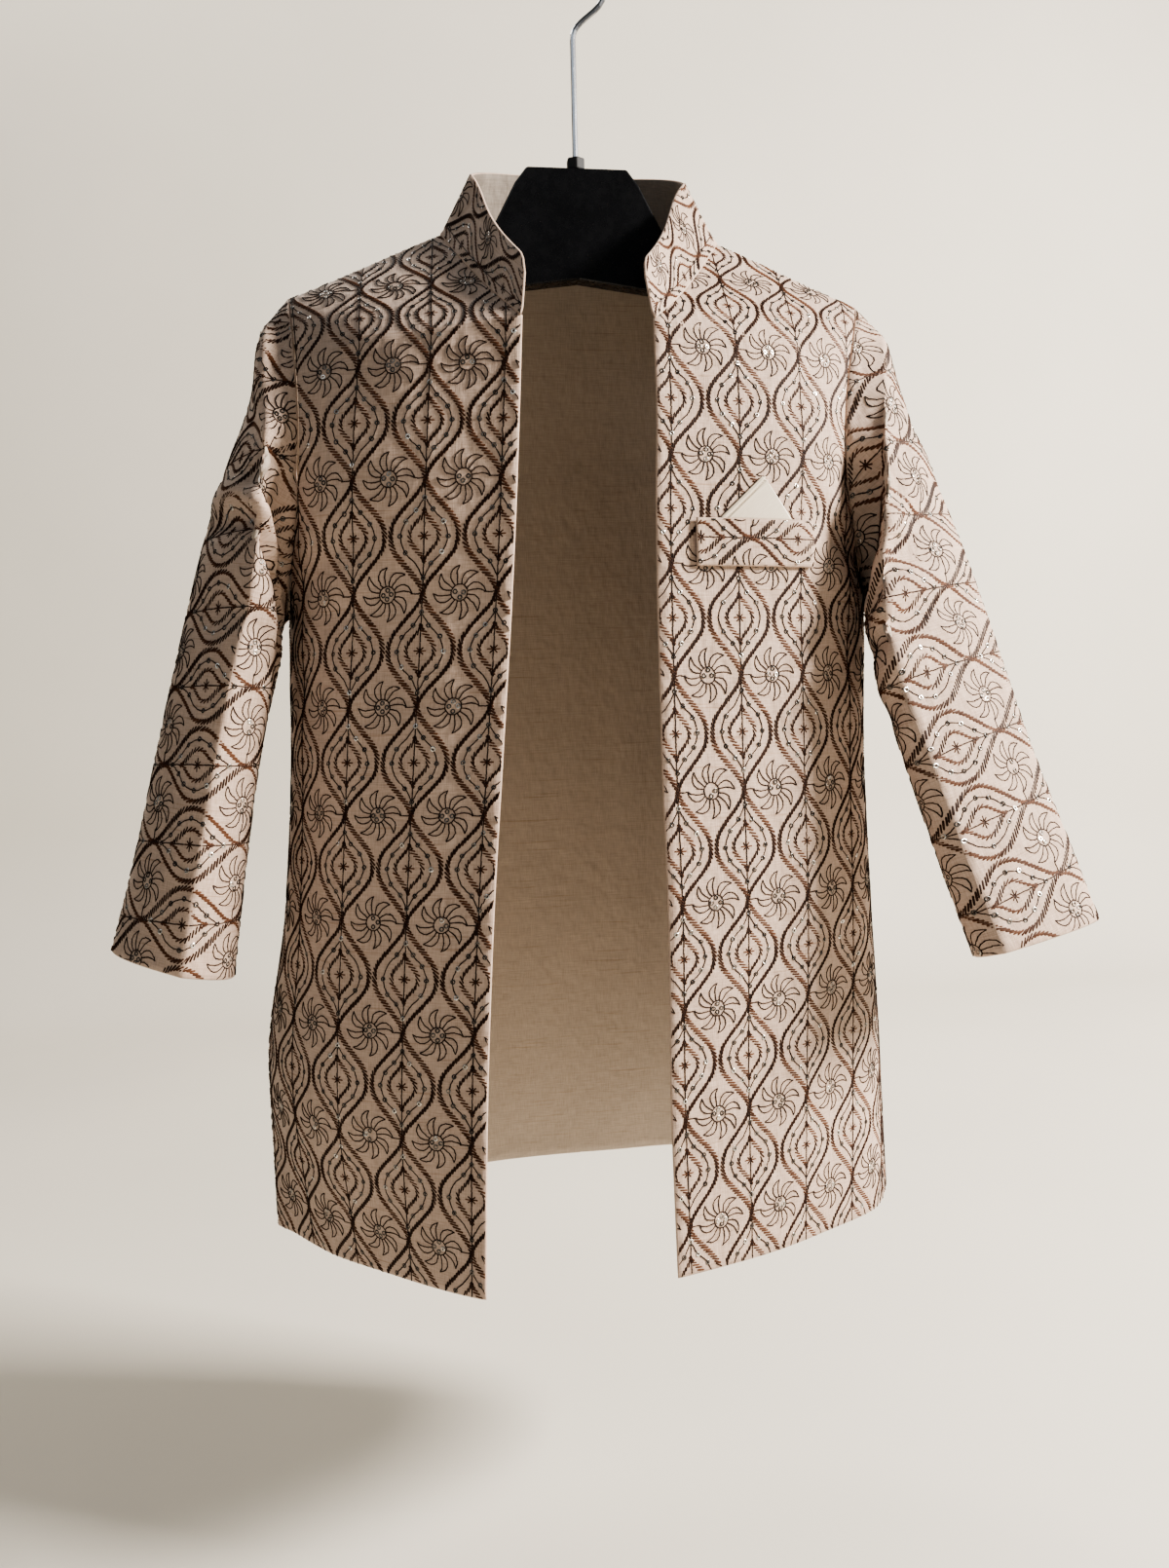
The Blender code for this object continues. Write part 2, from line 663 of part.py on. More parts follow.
def collar_rib(foot, place_along, whole):
    """Points from the neck seam up to the collar's top edge."""
    half = whole / 2
    backness = 1.0 - abs(place_along - half) / half
    height = COLLAR_HEIGHT_FRONT + (COLLAR_HEIGHT_BACK - COLLAR_HEIGHT_FRONT) * backness
    from_end = min(place_along, whole - place_along) / MM
    if from_end < COLLAR_CORNER:
        missing = 1.0 - from_end / COLLAR_CORNER
        height -= COLLAR_CORNER * (1.0 - math.sqrt(1.0 - missing**2))
    lean = smooth_column(*zip(*COLLAR_LEAN), backness)
    tip = smooth_column(*zip(*COLLAR_TIP), backness)
    inward = COLLAR_CENTRE * MM - foot
    inward[2] = 0.0
    inward /= np.linalg.norm(inward)
    forward = np.array([0.0, -1.0, 0.0])
    upward = np.array([0.0, 0.0, 1.0])
    rib = []
    for row in range(COLLAR_ROWS + 1):
        up = height * row / COLLAR_ROWS
        rib.append(foot + (inward * lean + forward * tip + upward) * up * MM)
    return rib


# ---------------------------------------------------------------- pocket
def front_point(side, station, across, lift):
    """Point on a front's outer surface, moved out from it by lift millimetres."""
    step = 0.01
    here = to_world(panel_row(side, -1, station, across), side)
    right = to_world(panel_row(side, -1, station, across + step), side) - here
    up = to_world(panel_row(side, -1, station + step, across), side) - here
    normal = np.cross(right, up) * side
    normal /= np.linalg.norm(normal)
    if normal[1] > 0:
        normal = -normal
    base = here + np.array([0.0, -SEAM_GAP / 2 * MM, 0.0])
    return base + normal * lift * MM


def find_on_front(side, x, z):
    """Station and place across of the front's point at a given x and z, in metres."""
    station, across = SEARCH_START
    step = SEARCH_STEP
    for _ in range(SEARCH_ROUNDS):
        here = to_world(panel_row(side, -1, station, across), side)
        by_station = (to_world(panel_row(side, -1, station + step, across), side) - here) / step
        by_across = (to_world(panel_row(side, -1, station, across + step), side) - here) / step
        turn = np.array([[by_station[0], by_across[0]], [by_station[2], by_across[2]]])
        move = np.linalg.solve(turn, np.array([x - here[0], z - here[2]]))
        station += float(move[0])
        across += float(move[1])
    return station, across


def patch_on_front(name, corners, lift, thick, columns, rows, made_of):
    """A flat piece on the pocket's front, between four (x, z) corners in millimetres."""
    low_in, low_out, high_in, high_out = [np.array(c) * MM for c in corners]
    outer = []
    inner = []
    for r in range(rows + 1):
        v = r / rows
        outer_row = []
        inner_row = []
        for c in range(columns + 1):
            u = c / columns
            x, z = (low_in * (1 - u) + low_out * u) * (1 - v) + (high_in * (1 - u) + high_out * u) * v
            station, across = find_on_front(POCKET_SIDE, x, z)
            outer_row.append(front_point(POCKET_SIDE, station, across, lift + thick))
            inner_row.append(front_point(POCKET_SIDE, station, across, lift))
        outer.append(outer_row)
        inner.append(inner_row)
    return wall_object(name, [(np.array(outer), np.array(inner))], made_of)


def make_pocket(welt_cloth, square_cloth):
    """The breast pocket's welt and the folded square that stands in it."""
    inner, outer, low, high = WELT_INNER_X, WELT_OUTER_X, WELT_LOW_Z, WELT_HIGH_Z
    corners = ((inner, low), (outer, low), (inner, high), (outer, high))
    patch_on_front("pocket_welt", corners, PATCH_LIFT, WELT_CLOTH, 8, 3, welt_cloth)
    foot = high + SQUARE_FOOT_GAP
    left, right = SQUARE_INNER_X, SQUARE_OUTER_X
    tip_x, tip_z = SQUARE_TIP
    half = SQUARE_TIP_WIDTH / 2
    corners = ((left, foot), (right, foot), (tip_x - half, tip_z), (tip_x + half, tip_z))
    patch_on_front("pocket_square", corners, PATCH_LIFT, SQUARE_CLOTH, 4, 4, square_cloth)


# ---------------------------------------------------------------- hanger
def make_hanger(name, made_of):
    """The hanger's plate and arms: a flat outline with some thickness and rounded edges."""
    half = HANGER_UPPER + HANGER_LOWER
    outline = half + tuple((-x, z) for x, z in reversed(half[1:-1]))
    curve = bpy.data.curves.new(name + "_outline", "CURVE")
    curve.dimensions = "2D"
    curve.fill_mode = "BOTH"
    curve.extrude = (HANGER_THICK / 2) * MM
    spline = curve.splines.new("POLY")
    spline.points.add(len(outline) - 1)
    for point, (x, z) in zip(spline.points, outline):
        point.co = (x * MM, z * MM, 0.0, 1.0)
    spline.use_cyclic_u = True
    flat = bpy.data.objects.new(name + "_flat", curve)
    flat.rotation_euler = (math.radians(90.0), 0.0, 0.0)
    COLLECTION.objects.link(flat)
    thing = curve_to_mesh(name, flat, made_of)
    bevel = thing.modifiers.new("rounded edges", "BEVEL")
    bevel.width = HANGER_EDGE * MM
    bevel.segments = 3
    bevel.limit_method = "ANGLE"
    bevel.angle_limit = math.radians(HANGER_EDGE_ANGLE)
    return thing


def curve_to_mesh(name, source, made_of):
    """Replace a curve object by a closed mesh at the same place."""
    bpy.context.view_layer.update()
    evaluated = source.evaluated_get(bpy.context.evaluated_depsgraph_get())
    mesh = bpy.data.meshes.new_from_object(evaluated)
    mesh.transform(source.matrix_world)
    mesh.name = name
    work = bmesh.new()
    work.from_mesh(mesh)
    bmesh.ops.remove_doubles(work, verts=work.verts, dist=WELD)
    bmesh.ops.recalc_face_normals(work, faces=work.faces)
    work.to_mesh(mesh)
    work.free()
    mesh.materials.clear()
    bpy.data.objects.remove(source)
    return place(name, mesh, made_of)


def hook_route():
    """Points of the hook's wire: a straight neck, a bend aside, then round over the origin."""
    radius = HOOK_INNER_RADIUS + WIRE / 2
    centre_z = -HOOK_INNER_RADIUS
    points = [(0.0, CAP_TOP + height) for height in HOOK_NECK]
    points.append((0.0, centre_z - radius - HOOK_NECK_DROP))
    join = math.radians(HOOK_JOIN_ANGLE)
    start = np.array(points[-1])
    end = np.array((radius * math.cos(join), centre_z + radius * math.sin(join)))
    above = start + np.array([0.0, HOOK_BEND_LOW])
    below = end + radius * HOOK_BEND_HIGH * np.array([math.sin(join), -math.cos(join)])
    for i in range(1, HOOK_BEND_STEPS):
        points.append(tuple(bezier(start, above, below, end, i / HOOK_BEND_STEPS)))
    last = math.radians(HOOK_END_ANGLE)
    for i in range(HOOK_ROUND_STEPS + 1):
        angle = join + (last - join) * i / HOOK_ROUND_STEPS
        points.append((radius * math.cos(angle), centre_z + radius * math.sin(angle)))
    return points


def make_hook(name, made_of):
    """The steel wire hook."""
    curve = bpy.data.curves.new(name + "_wire", "CURVE")
    curve.dimensions = "3D"
    curve.bevel_depth = WIRE / 2 * MM
    curve.bevel_resolution = 2
    curve.use_fill_caps = True
    route = hook_route()
    spline = curve.splines.new("POLY")
    spline.points.add(len(route) - 1)
    for point, (x, z) in zip(spline.points, route):
        point.co = (x * MM, 0.0, z * MM, 1.0)
    wire = bpy.data.objects.new(name + "_route", curve)
    COLLECTION.objects.link(wire)
    return curve_to_mesh(name, wire, made_of)


def make_cap(name, made_of):
    """The six-sided cap that the wire comes out of."""
    low = HANGER_TOP_Z + SEAM_GAP
    height = CAP_TOP - low
    bpy.ops.mesh.primitive_cylinder_add(
        vertices=6,
        radius=CAP_ACROSS / 2 * MM,
        depth=height * MM,
        location=(0.0, 0.0, (low + height / 2) * MM),
    )
    cap = bpy.context.object
    cap.name = name
    cap.data.name = name
    for other in list(cap.users_collection):
        other.objects.unlink(cap)
    COLLECTION.objects.link(cap)
    cap.data.materials.append(made_of)
    bevel = cap.modifiers.new("rounded edges", "BEVEL")
    bevel.width = CAP_EDGE * MM
    bevel.segments = 2
    return cap


def main():
    """Clear the scene and build every piece."""
    global COLLECTION
    for thing in list(bpy.data.objects):
        bpy.data.objects.remove(thing)
    COLLECTION = new_collection(OBJECT_NAME)
    cloth = material("embroidered_cloth", (0.62, 0.50, 0.42), 0.75)
    satin = material("square_satin", (0.80, 0.72, 0.63), 0.45)
    plastic = material("black_plastic", (0.012, 0.012, 0.013), 0.22)
    steel = material("hook_steel", (0.62, 0.62, 0.63), 0.25, 1.0)
    make_front("front_right", -1, cloth)
    make_front("front_left", 1, cloth)
    make_back("back", cloth)
    make_sleeve("sleeve_right", -1, cloth)
    make_sleeve("sleeve_left", 1, cloth)
    make_collar("collar", cloth)
    make_pocket(cloth, satin)
    make_hanger("hanger_body", plastic)
    make_cap("hanger_cap", plastic)
    make_hook("hanger_hook", steel)


main()
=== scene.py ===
import math

import bmesh
import bpy
import numpy as np
from mathutils import Matrix, Vector


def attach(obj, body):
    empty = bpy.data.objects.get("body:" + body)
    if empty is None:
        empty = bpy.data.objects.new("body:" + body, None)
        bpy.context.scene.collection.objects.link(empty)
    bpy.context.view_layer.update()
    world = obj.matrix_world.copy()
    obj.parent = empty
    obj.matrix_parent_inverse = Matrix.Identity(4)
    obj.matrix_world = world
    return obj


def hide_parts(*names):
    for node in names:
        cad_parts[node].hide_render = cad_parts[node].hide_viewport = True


# A child's embroidered sherwani coat, open in front, on a moulded hanger with a wire hook.
# Tables and cloth are in millimetres and degrees, the coat's front faces -Y and its wearer's left
# is at +X.  "out" is the distance from the middle plane towards the side that a table belongs to.

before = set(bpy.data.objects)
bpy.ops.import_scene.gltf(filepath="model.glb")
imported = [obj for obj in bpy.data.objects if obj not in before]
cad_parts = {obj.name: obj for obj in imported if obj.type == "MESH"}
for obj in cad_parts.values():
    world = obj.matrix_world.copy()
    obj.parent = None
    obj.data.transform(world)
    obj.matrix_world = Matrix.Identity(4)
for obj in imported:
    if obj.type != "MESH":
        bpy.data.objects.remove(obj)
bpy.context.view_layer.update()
MM = 0.001
CHANCE = np.random.default_rng(7)

# ------ sizes that the part's source has too
SEAM_GAP = 0.3
STATION = (0, 1, 2, 3, 4, 5, 6, 7, 8, 9, 10)
ARMPIT_STATION = 4
COLLAR_STATION = 7
BACK_NECK_STATION = 8
TOP_STATION = 10
BACK_MIDDLE_X = 2.0

# Front edge up to station 7 and neck seam above it.
#        out    y      z
EDGE = {
    -1: (
        (79, -119, -754),
        (75, -111, -659),
        (68.5, -103, -560),
        (60, -96, -465),
        (53, -92, -387),
        (49, -90, -335),
        (45.5, -86, -284),
        (42, -78, -232),
        (57.5, -51, -209),
        (70.5, -25, -185.5),
        (80.5, 0, -164),
    ),
    1: (
        (27.5, -115, -754),
        (26.5, -109, -659),
        (28, -102.5, -560),
        (27, -96, -465),
        (27, -92, -387),
        (27.5, -90, -335),
        (29.5, -86, -284),
        (30.5, -77, -232),
        (50, -51, -212),
        (69, -25, -188),
        (85, 0, -165),
    ),
}
# Middle of the back up to its neck seam.
#   out    y     z
BACK = (
    (0, 76, -757),
    (0, 73, -659),
    (0, 68, -560),
    (0, 64, -465),
    (0, 64, -387),
    (0, 65, -335),
    (0, 64, -284),
    (0, 58, -222),
    (0, 46, -150),
)
# Side seam from the hem to the armpit.
#        out     y      z
SIDE = {
    -1: (
        (200, -2, -757),
        (201.5, 0, -659),
        (187, 0, -560),
        (179.5, 0, -465),
        (177.5, 0, -387),
    ),
    1: (
        (191, -2, -757),
        (185, 0, -659),
        (176.5, 0, -560),
        (171.5, 0, -465),
        (174, 0, -383),
    ),
}
# Turn of a row of cloth at its edge and at its side, and how far each end's direction reaches.
#      turn at edge, turn at side, reach at edge, reach at side
UPPER_TURN = ((12, 40, 0.36, 0.28), (8, 30, 0.34, 0.28), (4, 16, 0.34, 0.30), (0, 0, 0.33, 0.33))
FRONT_TURN = {
    -1: (
        (31, 54, 0.30, 0.24),
        (19, 78, 0.38, 0.38),
        (16, 84, 0.42, 0.38),
        (14, 86, 0.48, 0.38),
        (13, 84, 0.52, 0.34),
        (12, 66, 0.50, 0.28),
        (12, 48, 0.42, 0.28),
        *UPPER_TURN,
    ),
    1: (
        (18, 74, 0.46, 0.32),
        (14, 80, 0.52, 0.34),
        (11, 86, 0.56, 0.34),
        (10, 88, 0.60, 0.34),
        (10, 84, 0.60, 0.32),
        (10, 62, 0.52, 0.28),
        (11, 48, 0.42, 0.28),
        *UPPER_TURN,
    ),
}
BACK_TURN = (
    (0, 76, 0.50, 0.34),
    (0, 80, 0.52, 0.34),
    (0, 84, 0.54, 0.34),
    (0, 86, 0.56, 0.34),
    (0, 84, 0.56, 0.32),
    (0, 62, 0.50, 0.26),
    (0, 44, 0.44, 0.26),
    (0, 36, 0.38, 0.26),
    (2, 26, 0.34, 0.28),
    (3, 14, 0.34, 0.30),
    (0, 0, 0.33, 0.33),
)
ARMHOLE_SHARE = (1, 1, 1, 1, 1, 0.73, 0.48, 0.24, 0.105, 0.035, 0)
SHOULDER_POINT = {-1: (169, 0, -202), 1: (171, 0, -200)}
ARMHOLE_INSET = {-1: 10, 1: 24}
ARMHOLE_FRONT = 47
ARMHOLE_BACK = 38
ARMHOLE_ROUND = 0.68
# The back's inset as a share of the front's.
ARMHOLE_INSET_BACK = 0.6
# Shares of a panel's rows below the armpit, and between it and the collar.
ROWS_TO_ARMPIT, ROWS_TO_COLLAR = 0.42, 0.26

# Soft waves of the skirt: face, side, place across, width, height at the hem, last station.
SKIRT_WAVES = (
    (-1, -1, 0.62, 0.16, 3, 3.2),
    (-1, -1, 0.88, 0.10, -2.5, 2.6),
    (-1, 1, 0.45, 0.15, -2.5, 2.8),
    (-1, 1, 0.74, 0.11, 3, 3.4),
    (1, -1, 0.30, 0.15, -5, 3.6),
    (1, -1, 0.62, 0.14, 6, 3.2),
    (1, 1, 0.22, 0.13, 4, 3.4),
    (1, 1, 0.55, 0.15, -6, 3.8),
    (1, 1, 0.82, 0.10, 4, 2.6),
)
# How fast they fade from the hem to that station.
WAVE_FADE = 1.3
# Rings down each sleeve: out, y, z of its outer side, front crease, inner side and back crease.
SLEEVE = {
    -1: (
        (182, 0, -218, 177, -54, -290, 180.5, -9, -391, 177, 43, -288),
        (192, -2, -256, 183, -61, -314, 181, -20, -397, 189, 37, -316),
        (208, -9, -300, 185, -65, -342, 181, -28, -409, 203, 28, -346),
        (222, -18, -346, 190, -67, -374, 184, -33, -425, 215, 20, -382),
        (235, -27, -401, 200.5, -70, -415, 189, -38, -446, 226, 12, -423),
        (248, -34, -457, 212, -73, -466, 196, -41, -482, 236, 4, -470),
        (264, -38, -522, 224, -77, -526, 205, -43, -538, 248, -1, -530),
        (279, -40, -572, 234, -80, -580, 212, -45, -588, 256, -5, -578),
    ),
    1: (
        (187, 0, -217, 169, -55, -290, 177, -10, -386, 178, 42, -288),
        (199, -9, -258, 166, -67, -316, 171, -25, -389, 190, 34, -316),
        (216, -20, -307, 160, -78, -352, 167, -36, -396, 206, 22, -350),
        (229, -35, -356, 157.5, -86, -390, 167, -46, -412, 217, 4, -388),
        (240, -50, -407, 162, -92, -425, 172, -56, -440, 227, -12, -428),
        (255, -66, -471, 178, -98, -472, 182, -68, -484, 239, -32, -478),
        (274, -80, -531, 198, -109, -536, 198, -81, -543, 254, -50, -537),
        (288, -88, -573, 213.5, -119, -582, 211, -90, -588, 264, -60, -579),
    ),
}
SLEEVE_FULLNESS = 0.55
# How far the curve between a sleeve's side and its crease reaches from each.
SLEEVE_REACH = (0.8, 0.5)
ARMHOLE_EASE = 3.4
# A lip's distance above its crease in half widths, and its spread in their squares.
LIP_PLACE, LIP_SPREAD = 1.9, 1.4
# Creases across the sleeves: side, place down the sleeve, lean, depth, half width, lip above.
SLEEVE_CREASES = (
    (-1, 0.21, -0.20, 6.0, 0.020, 5.5),
    (-1, 0.10, -0.10, 2.0, 0.030, 1.5),
    (-1, 0.38, -0.10, 1.5, 0.035, 1.0),
    (1, 0.30, 0.060, 3.0, 0.030, 2.5),
    (1, 0.40, -0.040, 3.5, 0.028, 2.5),
    (1, 0.53, 0.030, 2.0, 0.035, 1.5),
)
COLLAR_HEIGHT_FRONT = 34.0
COLLAR_HEIGHT_BACK = 38.0
COLLAR_CORNER = 9.0
COLLAR_GAPS = 1.6
COLLAR_CENTRE = np.array([2.0, -15.0, 0.0])
COLLAR_LEAN = ((0, 0.20), (0.25, 0.32), (0.5, 0.52), (0.8, 0.15), (1, 0.05))
COLLAR_TIP = ((0, -0.20), (0.25, -0.25), (0.5, -0.20), (0.8, 0), (1, 0))
WELT_X = (49.5, 120)
WELT_Z = (-365.5, -340.5)
SQUARE_FOOT_X = (63.5, 107)
SQUARE_TIP = (89.5, -317)
SQUARE_TIP_HALF = 0.6
SQUARE_FOOT_GAP = 0.1
PATCH_LIFT = 0.3

# ------ fineness, thickness and small measures of the cloth
FRONT_COLUMNS = 56
BACK_COLUMNS = 70
PANEL_ROWS = 190
SLEEVE_RINGS = 112
SLEEVE_QUARTER = 16
COLLAR_STEPS = 36
COLLAR_ROWS = 12
CLOTH = 1.5
WELT_CLOTH = 1.5
SQUARE_CLOTH = 1.1
# How far the welt and the square stand out, and their columns and rows.
WELT_STAND = 0.7
SQUARE_STAND = 1.2
WELT_MESH = (48, 18)
SQUARE_MESH = (60, 24)
# Height and half width of the ridge along the collar's seam.
COLLAR_RIDGE = (0.9, 2.5)
# A pressed crease's rims: height as a share of its depth, distance from its middle in half widths.
RIM_HEIGHT, RIM_PLACE = 0.35, 2.1
# Where the middle of a rounded edge lies: share of the thickness beyond the cloth's border.
EDGE_ROUND = 0.42
# Laying a cloth flat: every how many points, how many rounds, least and greatest weight.
FLAT_STEP = 4
FLAT_ROUNDS = 80
FLAT_WEIGHTS = (0.05, 5.0)
# Finding places on a cloth: how many at a time, coarse rows and columns, rounds, longest jump.
LOCATE_BATCH = 20000
LOCATE_COARSE = (24, 20)
LOCATE_ROUNDS = 9
LOCATE_JUMP = 8
# A place this near to the cloth, in mm, is on it.
LOCATE_SLACK = 0.3

# ------ the jaal: one repeat, charted
REPEAT_WIDTH = 40.5
REPEAT_HEIGHT = 60.0
# An ogee's outline: share of the way from its tip to its middle, share of its half width.
OGEE = (
    (0.0, 0.0),
    (0.12, 0.07),
    (0.24, 0.20),
    (0.35, 0.355),
    (0.46, 0.52),
    (0.57, 0.68),
    (0.68, 0.825),
    (0.78, 0.925),
    (0.90, 0.985),
    (1.0, 1.0),
)
OUTER_OGEE = (18.5, 30.0)
ROPE_PITCH = 2.1
ROPE_STITCH = (5.6, 1.25)
INNER_OGEE = (7.9, 13.4)
INNER_PITCH = 2.3
INNER_STITCH = (5.0, 1.1)
# How far a rope's stitches turn from the rope's own direction, by that direction.
TWIST = ((0.0, 38.0), (50.0, 23.0), (90.0, 33.0), (130.0, 39.0), (180.0, 38.0))
# A rope's direction is taken from this far behind to this far ahead, in mm.
AIM = 0.2
# Steps of an ogee's side, from its foot to its tip.
OGEE_STEPS = 160
STAR_ARMS = (3.9, 3.0)
STAR_WIDTH = 0.95
# Share of a stitch's colour that its lay gives, a painted sheen: stitches that lie level are
# painted lighter, as if they gleamed, upright ones darker.
PAINTED_LAY_SHEEN = 0.72
LINE_PITCH = 2.3
LINE_WIDTH = 1.05
# The vine's right side: the places of its sequins, from its top to its foot.
VINE = ((0, 22), (4.4, 14.4), (10.2, 8.6), (13, 0.3), (10.4, -7.3), (4.7, -13.3), (0, -19.9))
SEQUIN = (1.45, 0.65)
SEQUIN_SIDES = 10
# The sprig at each tip of the inner ogee: where its strokes start, spread, and end.
SPRIG_SPREAD = (-1.4, 0, 1.4)
SPRIG_START = 9.8
SPRIG_ENDS = (14.2, -14.4)
SPRIG_CLOSE = 0.2
FLOWER_RING = 4.5
RING_PITCH = 2.0
# Where the stalk that joins a flower to the rope ends, from the flower's middle.
STALK_END = -13.6
FLOWER_SEQUINS = 2.5
PETALS = 8
PETAL_FIRST_TIP = 1
# A petal's outer line and inner line: degrees round from its tip, distance from the middle.
PETAL_OUTER = ((31, 4.6), (34, 7.5), (29.5, 10.3), (15, 13), (0, 14.3))
PETAL_INNER = ((0, 14.3), (8, 10.5), (10, 7.5), (11, 4.6))

# Heights of the stars on each front, from the lowest up, and of those cut off by the seams above.
STAR_HEIGHTS = {
    -1: (-702, -644, -586, -526, -469, -409, -348, -287, -226, -182, -136),
    1: (-698, -638, -580, -521, -457, -394, -335, -275.5, -216, -174, -130),
}
FIRST_COLUMN = 8
# A star's place on the back, the collar and the welt.
BACK_STAR = (0.0, 20.0)
COLLAR_STAR = (-22.0, 6.0)
WELT_STAR = (2.0, 15.0)
# A star's place on each sleeve, how much the pattern is stretched round and down it, and turned.
SLEEVE_STAR = {-1: (-4.5, 26.0), 1: (16.0, 23.5)}
SLEEVE_STRETCH = {-1: (1.0, 1.06), 1: (1.30, 1.10)}
SLEEVE_TURN = {-1: 5.7, 1: 0.0}
# How unevenly it is all sewn: wander of a stitch's ends, its least and greatest width, wander of a
# sequin, share of the sequins that haven't come off, their tilt and least height.
STITCH_WANDER = 0.10
STITCH_WIDTHS = (0.88, 1.1)
SEQUIN_WANDER = 0.2
SEQUINS_LEFT = 0.94
SEQUIN_TILT = 0.13
SEQUIN_LOWEST = 0.05
# Height of a stitch as a share of its width.
ROPE_HEIGHT = 0.42
LINE_HEIGHT = 0.5


# ------ tables and curves
def smooth(places, values, at):
    """Table values between its rows, on a cubic through them that doesn't overshoot."""
    x = np.asarray(places, float)[: len(values)]
    y = np.asarray(values, float).reshape(len(values), -1)
    step = np.diff(x)[:, None]
    slope = np.diff(y, axis=0) / step
    before, after = slope[:-1], slope[1:]
    w0 = 2 * step[1:] + step[:-1]
    w1 = step[1:] + 2 * step[:-1]
    agree = before * after > 0
    safe_before = np.where(agree, before, 1.0)
    safe_after = np.where(agree, after, 1.0)
    inner = np.where(agree, (w0 + w1) / (w0 / safe_before + w1 / safe_after), 0.0)
    tangent = np.vstack([slope[:1], inner, slope[-1:]])
    spots = np.atleast_1d(np.asarray(at, float))
    i = np.clip(np.searchsorted(x, spots, side="right") - 1, 0, len(x) - 2)
    h = step[i]
    s = (spots[:, None] - x[i][:, None]) / h
    found = (
        (2 * s**3 - 3 * s**2 + 1) * y[i]
        + (s**3 - 2 * s**2 + s) * h * tangent[i]
        + (3 * s**2 - 2 * s**3) * y[i + 1]
        + (s**3 - s**2) * h * tangent[i + 1]
    )
    found = found if np.ndim(at) else found[0]
    return found[..., 0] if np.ndim(values) == 1 else found


def bezier(p0, p1, p2, p3, t):
    """Points of a cubic Bezier curve."""
    t = np.asarray(t)[:, None]
    s = 1.0 - t
    return s**3 * p0 + 3 * s**2 * t * p1 + 3 * s * t**2 * p2 + t**3 * p3


def distance(grid, axis):
    """Distance along a grid's rows (axis 1) or columns (axis 0), from the first point of each."""
    steps = np.linalg.norm(np.diff(grid, axis=axis), axis=2)
    start = np.zeros_like(steps[:, :1] if axis else steps[:1])
    return np.concatenate([start, np.cumsum(steps, axis=axis)], axis=axis)


def unit(vectors):
    """Vectors scaled to length 1."""
    length = np.linalg.norm(vectors, axis=-1, keepdims=True)
    return vectors / np.maximum(length, 1e-9)


def run_along(points):
    """Distance along a row of points, from its first."""
    steps = np.linalg.norm(np.diff(points, axis=0), axis=1)
    return np.concatenate([[0.0], np.cumsum(steps)])


# ------ the coat's surfaces
def armhole(side, face, share):
    """Armhole seam from the shoulder point (share 0) to the armpit (share 1)."""
    share = np.atleast_1d(share)
    top = np.array(SHOULDER_POINT[side])
    low = np.array(SIDE[side][-1])
    points = top + (low - top) * share[:, None]
    bow = np.maximum(0.0, np.sin(math.pi * share))
    points[:, 0] -= ARMHOLE_INSET[side] * bow * (1.0 if face < 0 else ARMHOLE_INSET_BACK)
    points[:, 1] += face * (ARMHOLE_FRONT if face < 0 else ARMHOLE_BACK) * bow**ARMHOLE_ROUND
    return points


def side_point(side, face, station):
    """Outer end of a row, on the side seam or the armhole."""
    if station <= ARMPIT_STATION:
        return smooth(STATION, SIDE[side], station)
    return armhole(side, face, smooth(STATION, ARMHOLE_SHARE, station))[0]


def inner_point(side, face, station):
    """Inner end of a row, on the front edge, the middle of the back or the neck seam."""
    if face < 0 and station <= COLLAR_STATION:
        return smooth(STATION, EDGE[side][: COLLAR_STATION + 1], station)
    if face < 0:
        return smooth(STATION[COLLAR_STATION:], EDGE[side][COLLAR_STATION:], station)
    middle = smooth(STATION, BACK, min(station, BACK_NECK_STATION))
    middle[0] = BACK_MIDDLE_X * side
    share = max(0.0, station - BACK_NECK_STATION) / (TOP_STATION - BACK_NECK_STATION)
    turn = math.pi / 2 * share
    neck = np.array(EDGE[side][-1])
    return middle + (neck - middle) * (math.sin(turn), 1 - math.cos(turn), 1 - math.cos(turn))


def skirt_wave(face, side, across, station):
    """How far the skirt's soft waves move the cloth outwards."""
    total = np.zeros_like(across)
    for wave_face, wave_side, place, width, height, fade in SKIRT_WAVES:
        if wave_face == face and wave_side == side and station < fade:
            bump = np.exp(-(((across - place) / width) ** 2))
            total += height * (1.0 - station / fade) ** WAVE_FADE * bump
    return total * np.maximum(0.0, np.sin(math.pi * across)) ** 0.5


def panel_row(side, face, station, across):
    """A row of a body panel from its inner end (across 0) to its outer end (across 1)."""
    start = inner_point(side, face, station)
    end = side_point(side, face, station)
    turns = smooth(STATION, FRONT_TURN[side] if face < 0 else BACK_TURN, station)
    turn_in, turn_out = np.radians(turns[:2])
    length = np.linalg.norm(end - start)
    drop = (end[2] - start[2]) / length
    reach_in = turns[2] * length * np.array([math.cos(turn_in), -face * math.sin(turn_in), drop])
    reach_out = turns[3] * length * np.array([math.cos(turn_out), -face * math.sin(turn_out), drop])
    row = bezier(start, start + reach_in, end - reach_out, end, across)
    row[:, 1] += face * (skirt_wave(face, side, across, station) + SEAM_GAP / 2)
    return row * (side, 1, 1)


def panel_stations():
    """Stations of a panel's rows, with one on each corner of its outline."""
    low, mid = round(PANEL_ROWS * ROWS_TO_ARMPIT), round(PANEL_ROWS * ROWS_TO_COLLAR)
    high = PANEL_ROWS - low - mid
    parts = [
        np.linspace(0, ARMPIT_STATION, low, endpoint=False),
        np.linspace(ARMPIT_STATION, COLLAR_STATION, mid, endpoint=False),
        np.linspace(COLLAR_STATION, TOP_STATION, high + 1),
    ]
    return np.concatenate(parts)


